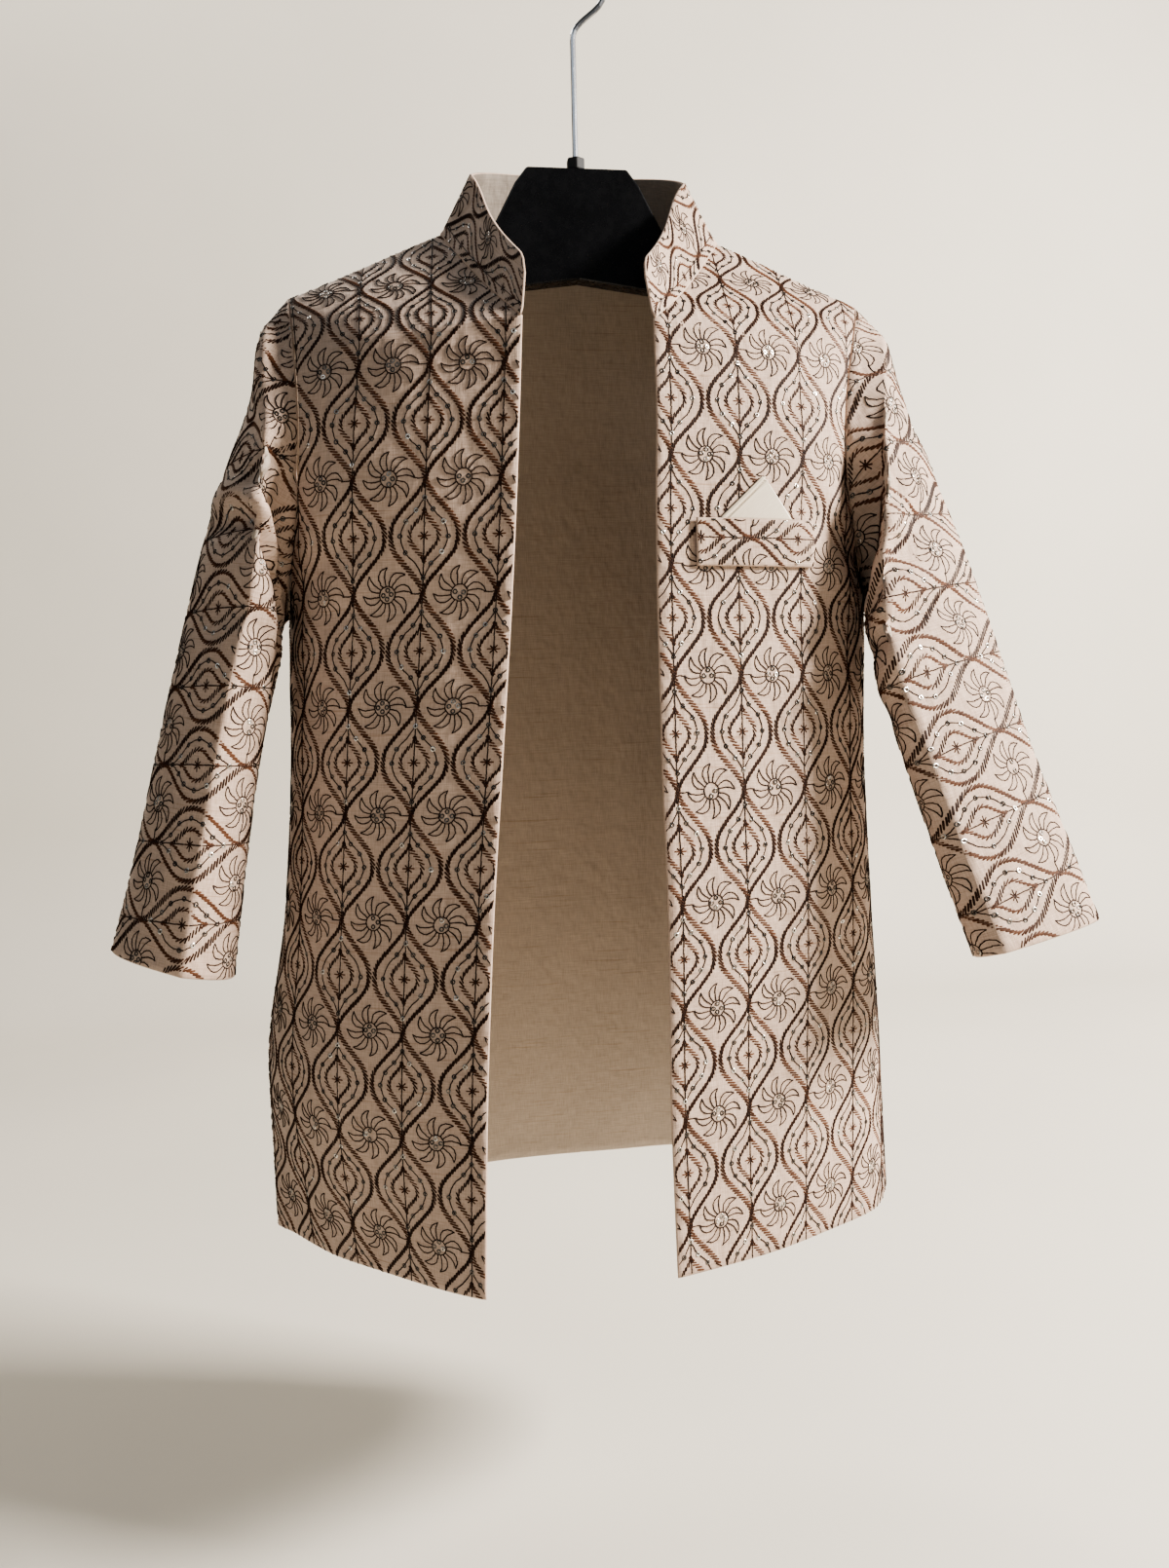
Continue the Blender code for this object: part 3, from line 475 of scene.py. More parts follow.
def panel_grid(side, face, columns):
    """A panel's outer surface, [row][column][x y z]."""
    across = np.linspace(0.0, 1.0, columns + 1)
    return np.array([panel_row(side, face, station, across) for station in panel_stations()])


def quarter(start, end, toward, share):
    """Part of a sleeve's ring, between a side of the sleeve and a crease."""
    lead = start + toward * SLEEVE_FULLNESS
    reach = (lead - start) * SLEEVE_REACH[0], (lead - end) * SLEEVE_REACH[1]
    return bezier(start, start + reach[0], end + reach[1], end, share)


def sleeve_ring(row):
    """One ring of a sleeve, round from its outer side by the front crease, inner side and back."""
    outer, front, inner, back = np.array(row).reshape(4, 3)
    centre = (outer + front + inner + back) / 4
    steps = np.arange(SLEEVE_QUARTER) / SLEEVE_QUARTER
    return np.concatenate(
        [
            quarter(outer, front, front - centre, steps),
            quarter(inner, front, front - centre, 1 - steps),
            quarter(inner, back, back - centre, steps),
            quarter(outer, back, back - centre, 1 - steps),
        ]
    )


def armhole_ring(side):
    """A sleeve's first ring, just outside the armhole seam."""
    steps = np.arange(SLEEVE_QUARTER) / SLEEVE_QUARTER / 2
    front = armhole(side, -1, np.concatenate([steps, 0.5 + steps]))
    back = armhole(side, 1, np.concatenate([1 - steps, 0.5 - steps]))
    ring = np.concatenate([front, back])
    nearness = (1 + np.cos(2 * math.pi * np.arange(len(ring)) / len(ring))) / 2
    ring[:, 0] += SEAM_GAP * (ARMHOLE_EASE + nearness**3)
    return ring


def sleeve_grids(side):
    """A sleeve's surface, [ring][point][x y z], cuff first, without and with its creases."""
    rings = np.array([armhole_ring(side)] + [sleeve_ring(row) for row in SLEEVE[side]])
    run = run_along(rings.mean(axis=1))
    down = np.linspace(0.0, 1.0, SLEEVE_RINGS + 1)
    points = rings.shape[1]
    grid = smooth(run / run[-1], rings.reshape(len(rings), -1), down).reshape(-1, points, 3)
    grid = grid * (side, 1, 1)
    normals = surface_normals(grid, True)
    outward = grid - grid.mean(axis=1, keepdims=True)
    if (normals * outward).sum() < 0:
        normals = -normals
    turn = 2 * math.pi * np.arange(points)[None, :] / points
    lean_at = (1 - np.cos(turn)) / 2
    front = np.maximum(np.sin(turn), 0.0) ** 0.5
    moves = np.zeros((len(grid), points))
    for crease_side, middle, lean, depth, width, lip in SLEEVE_CREASES:
        if crease_side == side:
            away = (down[:, None] - middle - lean * (lean_at - 0.5)) / width
            raised = lip * np.exp(-((away + LIP_PLACE) ** 2) / LIP_SPREAD)
            moves += (raised - depth * np.exp(-(away**2))) * front
    return grid[::-1], (grid + normals * moves[:, :, None])[::-1]


def neck_line():
    """Neck seam from the right front's edge round the back to the left front's edge."""
    sides = []
    for side in (-1, 1):
        front = np.linspace(COLLAR_STATION, TOP_STATION, COLLAR_STEPS + 1)
        back = np.linspace(TOP_STATION, BACK_NECK_STATION, COLLAR_STEPS + 1)[1:]
        half = [inner_point(side, -1, s) for s in front] + [inner_point(side, 1, s) for s in back]
        sides.append(np.array(half) * (side, 1, 1))
    return np.concatenate([sides[0], sides[1][-2::-1]])


def collar_grid():
    """The collar's outer surface, [row up][place along][x y z]."""
    seam = neck_line() + (0, 0, SEAM_GAP * COLLAR_GAPS)
    run = run_along(seam)
    from_end = np.minimum(run, run[-1] - run)
    backness = from_end / (run[-1] / 2)
    height = COLLAR_HEIGHT_FRONT + (COLLAR_HEIGHT_BACK - COLLAR_HEIGHT_FRONT) * backness
    missing = np.clip(1.0 - from_end / COLLAR_CORNER, 0.0, 1.0)
    height = height - COLLAR_CORNER * (1.0 - np.sqrt(1.0 - missing**2))
    lean = smooth(*zip(*COLLAR_LEAN), backness)
    tip = smooth(*zip(*COLLAR_TIP), backness)
    inward = unit((COLLAR_CENTRE - seam) * (1, 1, 0))
    rise = inward * lean[:, None] + np.array([0.0, -1.0, 0.0]) * tip[:, None] + (0, 0, 1)
    up = np.linspace(0.0, 1.0, COLLAR_ROWS + 1)[:, None, None] * height[None, :, None]
    return seam[None] + rise[None] * up


# ------ cloth as a grid with its own measures
def surface_normals(points, closed=False):
    """Unit normals of a grid; with closed its columns run round a ring."""
    if closed:
        across = np.roll(points, -1, axis=1) - np.roll(points, 1, axis=1)
    else:
        across = np.gradient(points, axis=1)
    return unit(np.cross(across, np.gradient(points, axis=0)))


class Cloth:
    """A grid of points with, for each, its place on the flat cloth: u to the right, t up, in mm.

    Seen from outside, columns run to the right and rows run up.
    """

    def __init__(self, name, points, u, t, normals=None):
        self.name = name
        self.points = points
        self.u = u
        self.t = t
        self.normals = surface_normals(points) if normals is None else normals
        self.beyond = None

    def press(self, creases, closed=False):
        """Move the cloth in and out by soft creases: from (u, t) to (u, t), depth, half width."""
        moves = np.zeros_like(self.u)
        for u0, t0, u1, t1, depth, width in creases:
            way = np.array([u1 - u0, t1 - t0])
            length = np.linalg.norm(way)
            way = way / length
            du, dt = self.u - u0, self.t - t0
            along = (du * way[0] + dt * way[1]) / length
            away = (dt * way[0] - du * way[1]) / width
            fade = np.exp(-((np.abs(along - 0.5) * 2.0) ** 4))
            rims = RIM_HEIGHT * np.exp(-((np.abs(away) - RIM_PLACE) ** 2))
            trough = np.exp(-(away**2)) - rims
            moves -= depth * trough * fade
        self.points = self.points + self.normals * moves[:, :, None]
        if closed:
            self.points[:, -1] = self.points[:, 0]
            around = surface_normals(self.points[:, :-1], True)
            self.normals = np.concatenate([around, around[:, :1]], axis=1)
        else:
            self.normals = surface_normals(self.points)

    def read(self, field, r, c):
        """A field's value between the grid's points, on straight lines beyond its ends."""
        rows, columns = self.u.shape
        r0 = np.clip(np.floor(r).astype(int), 0, rows - 2)
        c0 = np.clip(np.floor(c).astype(int), 0, columns - 2)
        fr, fc = r - r0, c - c0
        if field.ndim == 3:
            fr, fc = fr[:, None], fc[:, None]
        low = field[r0, c0] * (1 - fc) + field[r0, c0 + 1] * fc
        high = field[r0 + 1, c0] * (1 - fc) + field[r0 + 1, c0 + 1] * fc
        return low * (1 - fr) + high * fr

    def locate(self, a, b, fields=None):
        """Grid place (row, column) of cloth places (u, t), and how far off each is in mm."""
        f, g = fields or (self.u, self.t)
        rows, columns = f.shape
        step_r, step_c = max(1, rows // LOCATE_COARSE[0]), max(1, columns // LOCATE_COARSE[1])
        coarse_f, coarse_g = f[::step_r, ::step_c], g[::step_r, ::step_c]
        r = np.zeros(len(a))
        c = np.zeros(len(a))
        for lo in range(0, len(a), LOCATE_BATCH):
            part = slice(lo, lo + LOCATE_BATCH)
            far = (a[part, None] - coarse_f.ravel()) ** 2 + (b[part, None] - coarse_g.ravel()) ** 2
            near = far.argmin(axis=1)
            r[part] = near // coarse_f.shape[1] * step_r
            c[part] = near % coarse_f.shape[1] * step_c
        f_r, f_c = np.gradient(f)
        g_r, g_c = np.gradient(g)
        for _ in range(LOCATE_ROUNDS):
            miss_f = a - self.read(f, r, c)
            miss_g = b - self.read(g, r, c)
            j = [self.read(x, r, c) for x in (f_r, f_c, g_r, g_c)]
            det = j[0] * j[3] - j[1] * j[2]
            det = np.where(np.abs(det) < 1e-6, 1e-6, det)
            r = r + np.clip((miss_f * j[3] - miss_g * j[1]) / det, -LOCATE_JUMP, LOCATE_JUMP)
            c = c + np.clip((miss_g * j[0] - miss_f * j[2]) / det, -LOCATE_JUMP, LOCATE_JUMP)
            r = np.clip(r, 0, rows - 1)
            c = np.clip(c, *self.column_limits(r, columns))
        off = np.hypot(a - self.read(f, r, c), b - self.read(g, r, c))
        return r, c, off

    def column_limits(self, r, columns):
        """The lowest and highest column allowed at each row."""
        low = np.zeros_like(r)
        high = np.full_like(r, columns - 1)
        if self.beyond:
            end, top_row = self.beyond
            reach = np.where(r <= top_row, 1.0, 0.0)
            low, high = (low - reach, high) if end == "low" else (low, high + reach)
        return low, high

    def place(self, a, b, lift):
        """Points on the cloth at places (u, t), moved out from it by lift."""
        r, c, _ = self.locate(a, b)
        return self.read(self.points, r, c) + unit(self.read(self.normals, r, c)) * lift[:, None]


def front_cloth(side):
    """A front: u is its distance from the edge, t its height by the rows of stars."""
    grid = panel_grid(side, -1, FRONT_COLUMNS)
    across = distance(grid[:, :, :2], 1)
    top = np.array(EDGE[side][COLLAR_STATION])
    below = np.array(EDGE[side][COLLAR_STATION - 1])
    slope = (top[0] - below[0]) / (top[2] - below[2])
    start = grid[:, 0]
    edge_out = top[0] + slope * (start[:, 2] - top[2])
    cut_away = np.where(panel_stations() > COLLAR_STATION, side * start[:, 0] - edge_out, 0.0)
    across = across + cut_away[:, None]
    stars = np.array(STAR_HEIGHTS[side])
    heights = REPEAT_HEIGHT * np.arange(len(stars))
    up = np.interp(grid[:, :, 2], stars, heights)
    below_first = grid[:, :, 2] < stars[0]
    scale = REPEAT_HEIGHT / (stars[1] - stars[0])
    up[below_first] = (grid[:, :, 2][below_first] - stars[0]) * scale
    name = "right_front" if side < 0 else "left_front"
    if side < 0:
        return Cloth(name, grid[:, ::-1], -across[:, ::-1], up[:, ::-1])
    return Cloth(name, grid, across, up)


def back_cloth(side):
    """Half of the back: u is the distance from its middle line, seen from behind."""
    grid = panel_grid(side, 1, BACK_COLUMNS)
    stations = panel_stations()
    neck_row = int(np.argmax(stations >= BACK_NECK_STATION - 1e-6))
    grid[: neck_row + 1, 0, 0] = 0.0
    across = distance(grid[:, :, :2], 1)
    across = across + np.abs(grid[:, :1, 0])
    rise = np.linalg.norm(np.diff(grid[:, :, 1:], axis=0), axis=2)
    up = np.concatenate([grid[:1, :, 2] - grid[0, 0, 2], rise]).cumsum(axis=0)
    if side > 0:
        cloth = Cloth("back_left_half", grid[:, ::-1], -across[:, ::-1], up[:, ::-1])
        cloth.beyond = ("high", neck_row)
    else:
        cloth = Cloth("back_right_half", grid, across, up)
        cloth.beyond = ("low", neck_row)
    return cloth


def flatten(grid):
    """Lay a grid of points out flat with as little stretch as it allows: each point's (u, t)."""
    coarse = grid[::FLAT_STEP, ::FLAT_STEP]
    rows, columns = coarse.shape[:2]
    points = coarse.reshape(-1, 3)
    index = np.arange(len(points)).reshape(rows, columns)
    a, b, c, d = index[:-1, :-1], index[:-1, 1:], index[1:, 1:], index[1:, :-1]
    low, high = np.stack([a, b, c], axis=-1), np.stack([a, c, d], axis=-1)
    corners = np.concatenate([low.reshape(-1, 3), high.reshape(-1, 3)])
    first = points[corners[:, 1]] - points[corners[:, 0]]
    second = points[corners[:, 2]] - points[corners[:, 0]]
    along = (second * unit(first)).sum(axis=1)
    away = np.linalg.norm(second - along[:, None] * unit(first), axis=1)
    own = np.zeros((len(corners), 3, 2))
    own[:, 1, 0] = np.linalg.norm(first, axis=1)
    own[:, 2] = np.stack([along, away], axis=1)
    edges = []
    system = np.eye(len(points)) * 1e-6
    for k in range(3):
        i, j = (k + 1) % 3, (k + 2) % 3
        p, q = own[:, i] - own[:, k], own[:, j] - own[:, k]
        double_area = np.abs(p[:, 0] * q[:, 1] - p[:, 1] * q[:, 0])
        weight = np.clip((p * q).sum(axis=1) / double_area, *FLAT_WEIGHTS)
        m, n = corners[:, i], corners[:, j]
        edges.append((m, n, own[:, i] - own[:, j], weight))
        for row, column, sign in ((m, m, 1), (n, n, 1), (m, n, -1), (n, m, -1)):
            np.add.at(system, (row, column), sign * weight)
    solved = np.linalg.inv(system)
    round_it = np.linalg.norm(np.diff(coarse, axis=1), axis=2).sum(axis=1).mean()
    up = np.linalg.norm(np.diff(coarse, axis=0), axis=2).sum(axis=0).mean()
    t, u = np.meshgrid(np.linspace(0, up, rows), np.linspace(0, round_it, columns), indexing="ij")
    flat = np.stack([u.ravel(), t.ravel()], axis=1)
    for _ in range(FLAT_ROUNDS):
        same = np.zeros(len(corners))
        turned = np.zeros(len(corners))
        for m, n, side, weight in edges:
            now = flat[m] - flat[n]
            same += weight * (now * side).sum(axis=1)
            turned += weight * (side[:, 0] * now[:, 1] - side[:, 1] * now[:, 0])
        size = np.hypot(same, turned)
        cos, sin = same / size, turned / size
        wanted = np.zeros_like(flat)
        for m, n, side, weight in edges:
            x, y = side.T
            turn = np.stack([cos * x - sin * y, sin * x + cos * y], axis=1) * weight[:, None]
            np.add.at(wanted, m, turn)
            np.add.at(wanted, n, -turn)
        flat = solved @ wanted
    field = flat.reshape(rows, columns * 2)
    field = smooth(np.arange(rows) * FLAT_STEP, field, np.arange(grid.shape[0]))
    field = field.reshape(-1, columns, 2).transpose(1, 0, 2).reshape(columns, -1)
    field = smooth(np.arange(columns) * FLAT_STEP, field, np.arange(grid.shape[1]))
    return field.reshape(grid.shape[1], -1, 2).transpose(1, 0, 2)


def sleeve_cloth(side):
    """A sleeve: u is the distance round it from the front crease, t the height above the cuff."""
    plain, grid = sleeve_grids(side)
    count = grid.shape[1]
    crease = count * 3 // 4
    normals = surface_normals(grid, True)
    outward = grid - grid.mean(axis=1, keepdims=True)
    wound = 1 if (normals * outward).sum() > 0 else -1
    around = np.roll(np.arange(count), -(count // 2))
    around = np.append(around, around[0])[::wound]
    crease = crease if wound > 0 else count - crease
    plain, grid, normals = plain[:, around], grid[:, around], normals[:, around] * wound
    flat = flatten(plain)
    line = flat[len(flat) // 2, crease] - flat[0, crease]
    way = line / np.linalg.norm(line)
    flat = flat - flat[0, crease]
    u = flat[:, :, 0] * way[1] - flat[:, :, 1] * way[0]
    t = flat[:, :, 0] * way[0] + flat[:, :, 1] * way[1]
    return Cloth("right_sleeve" if side < 0 else "left_sleeve", grid, u, t, normals)


def collar_cloth():
    """The collar: u runs along it from the wearer's right front, t up it."""
    grid = collar_grid()
    along = np.tile(run_along(grid[0]), (len(grid), 1))
    up = distance(grid, 0)
    cloth = Cloth("collar", grid, along, up)
    outward = (grid - COLLAR_CENTRE) * (1, 1, 0)
    if (cloth.normals * outward).sum() < 0:
        cloth = Cloth("collar", grid[:, ::-1], -along[:, ::-1], up[:, ::-1])
    ridge = np.exp(-((cloth.t / COLLAR_RIDGE[1]) ** 2))[:, :, None]
    cloth.points = cloth.points + cloth.normals * COLLAR_RIDGE[0] * ridge
    cloth.normals = surface_normals(cloth.points)
    return cloth


# ------ meshes
def mesh_object(name, points, faces, made_of):
    """An object from points in mm and an array of faces that all have as many corners."""
    faces = np.asarray(faces, dtype=np.int32)
    mesh = bpy.data.meshes.new(name)
    mesh.vertices.add(len(points))
    mesh.vertices.foreach_set("co", (np.asarray(points) * MM).astype(np.float32).ravel())
    mesh.loops.add(faces.size)
    mesh.loops.foreach_set("vertex_index", faces.ravel())
    mesh.polygons.add(len(faces))
    mesh.polygons.foreach_set("loop_start", np.arange(len(faces), dtype=np.int32) * faces.shape[1])
    mesh.polygons.foreach_set("use_smooth", np.ones(len(faces), bool))
    mesh.update(calc_edges=True)
    mesh.validate()
    for one in made_of:
        mesh.materials.append(one)
    thing = bpy.data.objects.new(name, mesh)
    bpy.context.scene.collection.objects.link(thing)
    return thing


def add_attribute(thing, name, kind, values):
    """Store a value for each point of an object's mesh."""
    layer = thing.data.attributes.new(name, kind, "POINT")
    key = "vector" if kind == "FLOAT_VECTOR" else "value"
    layer.data.foreach_set(key, np.asarray(values, dtype=np.float32).ravel())


def border(rows, columns):
    """Grid places round a grid's border, counter-clockwise seen from outside."""
    low = [(0, c) for c in range(columns - 1)]
    right = [(r, columns - 1) for r in range(rows - 1)]
    top = [(rows - 1, c) for c in range(columns - 1, 0, -1)]
    left = [(r, 0) for r in range(rows - 1, 0, -1)]
    return low + right + top + left


def shell(cloth, thick, skip=None, tube=False):
    """Points, quads, material numbers and cloth places of a thin shell with rounded edges."""
    rows, columns = cloth.u.shape
    outer = cloth.points.reshape(-1, 3)
    inner = outer - cloth.normals.reshape(-1, 3) * thick
    index = np.arange(rows * columns).reshape(rows, columns)
    corners = [index[:-1, :-1], index[:-1, 1:], index[1:, 1:], index[1:, :-1]]
    quads = np.stack(corners, axis=-1).reshape(-1, 4)
    count = rows * columns
    faces = [quads, quads[:, ::-1] + count]
    kinds = [np.zeros(len(quads)), np.ones(len(quads))]
    loops = [border(rows, columns)]
    if tube:
        low = [(0, c) for c in range(columns)]
        top = [(rows - 1, c) for c in range(columns - 1, -1, -1)]
        loops = [low, top]
    points = [outer, inner]
    places = [np.stack([cloth.u.ravel(), cloth.t.ravel(), np.zeros(count)], axis=1)] * 2
    total = 2 * count
    for loop in loops:
        spots = np.array([index[p] for p in loop])
        line = outer[spots]
        if tube:
            tangent = np.gradient(line, axis=0)
        else:
            tangent = np.roll(line, -1, axis=0) - np.roll(line, 1, axis=0)
        normal = cloth.normals.reshape(-1, 3)[spots]
        away = unit(np.cross(tangent, normal))
        middle = line - normal * thick / 2 + away * thick * EDGE_ROUND
        mids = total + np.arange(len(spots))
        points.append(middle)
        places.append(places[0][spots])
        total += len(spots)
        last = len(spots) - 1 if tube else len(spots)
        for i in range(last):
            j = (i + 1) % len(spots)
            if skip and skip(loop[i], loop[j]):
                continue
            faces.append(np.array([[spots[i], mids[i], mids[j], spots[j]]]))
            faces.append(np.array([[mids[i], spots[i] + count, spots[j] + count, mids[j]]]))
            kinds.append(np.zeros(2))
    return [np.concatenate(part) for part in (points, faces, kinds, places)]


def cloth_object(name, cloths, thick, made_of, skips=None, tube=False):
    """One piece of cloth from one or more grids, welded where they meet."""
    points, faces, kinds, places = [], [], [], []
    total = 0
    for i, cloth in enumerate(cloths):
        part = shell(cloth, thick, skips[i] if skips else None, tube)
        points.append(part[0])
        faces.append(part[1] + total)
        kinds.append(part[2])
        places.append(part[3])
        total += len(part[0])
    thing = mesh_object(name, np.concatenate(points), np.concatenate(faces), made_of)
    thing.data.polygons.foreach_set("material_index", np.concatenate(kinds).astype(np.int32))
    add_attribute(thing, "cloth", "FLOAT_VECTOR", np.concatenate(places))
    weld(thing)
    return thing


def weld(thing):
    """Join an object's points that lie together."""
    shape = bmesh.new()
    shape.from_mesh(thing.data)
    bmesh.ops.remove_doubles(shape, verts=shape.verts, dist=1e-6)
    shape.to_mesh(thing.data)
    shape.free()


# ------ the embroidery's stitches
def on_path(path, run, at):
    """Places on a path, at distances along it."""
    return np.stack([np.interp(at, run, path[:, k]) for k in (0, 1)], axis=1)


def walk(path, pitch):
    """Places and directions at even steps along a path, the first half a step in."""
    run = run_along(path)
    count = max(1, round(run[-1] / pitch))
    at = (np.arange(count) + 0.5) * run[-1] / count
    ways = on_path(path, run, at + AIM) - on_path(path, run, at - AIM)
    return on_path(path, run, at), unit(ways)


def ogee_side(half_width, half_height, side):
    """One side of an ogee, from its foot to its tip."""
    v = np.linspace(-1.0, 1.0, OGEE_STEPS + 1)
    out = smooth(*zip(*OGEE), 1.0 - np.abs(v))
    return np.stack([side * half_width * out, half_height * v], axis=1)


def slanted(path, pitch, size):
    """Thick stitches that lie aslant along a path, as the strands of a rope do."""
    spots, ways = walk(path, pitch)
    angle = np.degrees(np.arctan2(ways[:, 1], ways[:, 0])) % 180.0
    angle = np.radians(angle + np.interp(angle, *zip(*TWIST)))
    reach = np.stack([np.cos(angle), np.sin(angle)], axis=1) * size[0] / 2
    return np.column_stack([spots - reach, spots + reach, np.full(len(spots), size[1])])


def straight(x0, y0, x1, y1, width):
    """One stitch."""
    return np.array([[x0, y0, x1, y1, width]])


def line_stitches(path, pitch=LINE_PITCH):
    """Thin stitches end to end along a path."""
    run = run_along(path)
    count = max(1, round(run[-1] / pitch))
    spots = on_path(path, run, np.linspace(0.0, run[-1], count + 1))
    return np.column_stack([spots[:-1], spots[1:], np.full(count, LINE_WIDTH)])


def polar(table, turn):
    """Points from (degrees round, distance) rows, turned round."""
    angle = np.radians(np.array([row[0] for row in table]) + turn)
    far = np.array([row[1] for row in table])
    return np.stack([far * np.cos(angle), far * np.sin(angle)], axis=1)


def curved(points, fineness=8):
    """A smooth path through points."""
    run = run_along(points)
    return smooth(run, points, np.linspace(0.0, run[-1], fineness * len(points)))


def repeat():
    """The thick stitches, thin stitches and sequins of one repeat, round its star."""
    thick, thin, sequins = [], [], []
    half = (REPEAT_WIDTH / 2, REPEAT_HEIGHT / 2)
    for side in (-1, 1):
        thick.append(slanted(ogee_side(*OUTER_OGEE, side), ROPE_PITCH, ROPE_STITCH))
        thick.append(slanted(ogee_side(*INNER_OGEE, side), INNER_PITCH, INNER_STITCH))
        thin.append(line_stitches(curved(np.array(VINE) * (side, 1.0))))
    for i in range(4):
        turn = math.radians(45.0 * i)
        arm = STAR_ARMS[i % 2]
        x, y = arm * math.cos(turn), arm * math.sin(turn)
        thick.append(straight(0.0, 0.0, x, y, STAR_WIDTH))
        thick.append(straight(0.0, 0.0, -x, -y, STAR_WIDTH))
    thin.append(line_stitches(np.array([[0.0, -half[1]], [0.0, half[1]]])))
    for x in SPRIG_SPREAD:
        for end in SPRIG_ENDS:
            start = math.copysign(SPRIG_START, end)
            thick.append(straight(x, start, x * SPRIG_CLOSE, end, STAR_WIDTH))
    sequins += [(x, y) for x, y in VINE] + [(-x, y) for x, y in VINE[1:-1]]
    flower = np.array(half)
    circle = polar([(10.0 * i, FLOWER_RING) for i in range(37)], 0.0) + flower
    thin.append(line_stitches(circle, RING_PITCH))
    for i in range(PETALS):
        tip = PETAL_FIRST_TIP + 360.0 / PETALS * i
        thin.append(line_stitches(curved(polar(PETAL_OUTER, tip)) + flower))
        thin.append(line_stitches(curved(polar(PETAL_INNER, tip)) + flower))
    thin.append(line_stitches(np.array([[-half[0], 0.0], [STALK_END, 0.0]]) + flower))
    for i in range(4):
        turn = math.radians(90.0 * i)
        sequins.append(tuple(flower + FLOWER_SEQUINS * np.array([math.cos(turn), math.sin(turn)])))
    return np.concatenate(thick), np.concatenate(thin), np.array(sequins)


THICK, THIN, SEQUINS = repeat()

# Shapes of a stitch: along, across and up for each point, and triangles.
PLUMP = np.array(
    [(0, 0, -0.15), (0.12, -0.5, -0.15), (0.16, 0, 0.95), (0.12, 0.5, -0.15)]
    + [(0.88, -0.5, -0.15), (0.84, 0, 0.95), (0.88, 0.5, -0.15), (1, 0, -0.15)]
)
PLUMP_FACES = np.array(
    [(0, 1, 2), (0, 2, 3), (1, 4, 5), (1, 5, 2), (2, 5, 6), (2, 6, 3), (4, 7, 5), (5, 7, 6)]
)
FINE = np.array(
    [(-0.06, -0.4, -0.15), (0, 0, 0.85), (-0.06, 0.4, -0.15)]
    + [(1.06, -0.4, -0.15), (1, 0, 0.85), (1.06, 0.4, -0.15)]
)
FINE_FACES = np.array([(0, 3, 4), (0, 4, 1), (1, 4, 5), (1, 5, 2), (0, 1, 2), (3, 5, 4)])


def tiled(cloth, chart, origin, turn):
    """The repeats' charts that may touch a cloth, moved to the cloth's own places.

    chart's first columns are pairs (x, y).  origin is a star's place, turn the pattern's turn.
    """
    cos, sin = math.cos(turn), math.sin(turn)
    du, dt = cloth.u - origin[0], cloth.t - origin[1]
    x, y = du * cos + dt * sin, dt * cos - du * sin
    columns = range(math.floor(x.min() / REPEAT_WIDTH) - 1, math.ceil(x.max() / REPEAT_WIDTH) + 2)
    rows = range(math.floor(y.min() / REPEAT_HEIGHT) - 1, math.ceil(y.max() / REPEAT_HEIGHT) + 2)
    end = chart.shape[1] // 2 * 2
    copies = []
    for i in columns:
        for j in rows:
            copy = chart.copy()
            copy[:, 0:end:2] += i * REPEAT_WIDTH
            copy[:, 1:end:2] += j * REPEAT_HEIGHT
            copies.append(copy)
    everything = np.concatenate(copies)
    x, y = everything[:, 0:end:2].copy(), everything[:, 1:end:2].copy()
    everything[:, 0:end:2] = x * cos - y * sin + origin[0]
    everything[:, 1:end:2] = x * sin + y * cos + origin[1]
    return everything


def on_cloth(cloth, a, b, own=None):
    """Which places lie on the cloth."""
    near = (a > cloth.u.min() - 1) & (a < cloth.u.max() + 1)
    near &= (b > cloth.t.min() - 1) & (b < cloth.t.max() + 1)
    found = np.zeros(len(a), bool)
    _, _, off = cloth.locate(a[near], b[near])
    inside = off < LOCATE_SLACK
    if own is not None:
        inside &= own(a[near])
    found[np.flatnonzero(near)[inside]] = True
    return found


def all_copies(faces, count, size):
    """The triangles of many copies of a shape with so many points."""
    return (faces[None] + (np.arange(count) * size)[:, None, None]).reshape(-1, 3)


def stitches(cloth, chart, origin, turn, shape, faces, height, own=None):
    """Points and triangles of stitches all over a cloth, and each point's tone with its painted
    sheen.
    """
    sewn = tiled(cloth, chart, origin, turn)
    sewn[:, :4] += CHANCE.normal(0.0, STITCH_WANDER, (len(sewn), 4))
    middle = (sewn[:, :2] + sewn[:, 2:4]) / 2
    sewn = sewn[on_cloth(cloth, middle[:, 0], middle[:, 1], own)]
    start, end, width = sewn[:, :2], sewn[:, 2:4], sewn[:, 4]
    width = width * CHANCE.uniform(*STITCH_WIDTHS, len(width))
    way = end - start
    side = unit(np.stack([-way[:, 1], way[:, 0]], axis=1))
    flat = start[:, None] + way[:, None] * shape[None, :, :1]
    flat = flat + side[:, None] * shape[None, :, 1:2] * width[:, None, None]
    lift = np.tile(shape[:, 2], len(sewn)) * np.repeat(height * width, len(shape))
    points = cloth.place(flat[:, :, 0].ravel(), flat[:, :, 1].ravel(), lift)
    # Painted sheen: the more level a stitch lies, the lighter its colour, as if it caught the
    # light; the rest is random tone.
    level = (way[:, 0] / np.linalg.norm(way, axis=1)) ** 2
    shade = PAINTED_LAY_SHEEN * level + (1.0 - PAINTED_LAY_SHEEN) * CHANCE.random(len(sewn))
    return points, all_copies(faces, len(sewn), len(shape)), np.repeat(shade, len(shape))


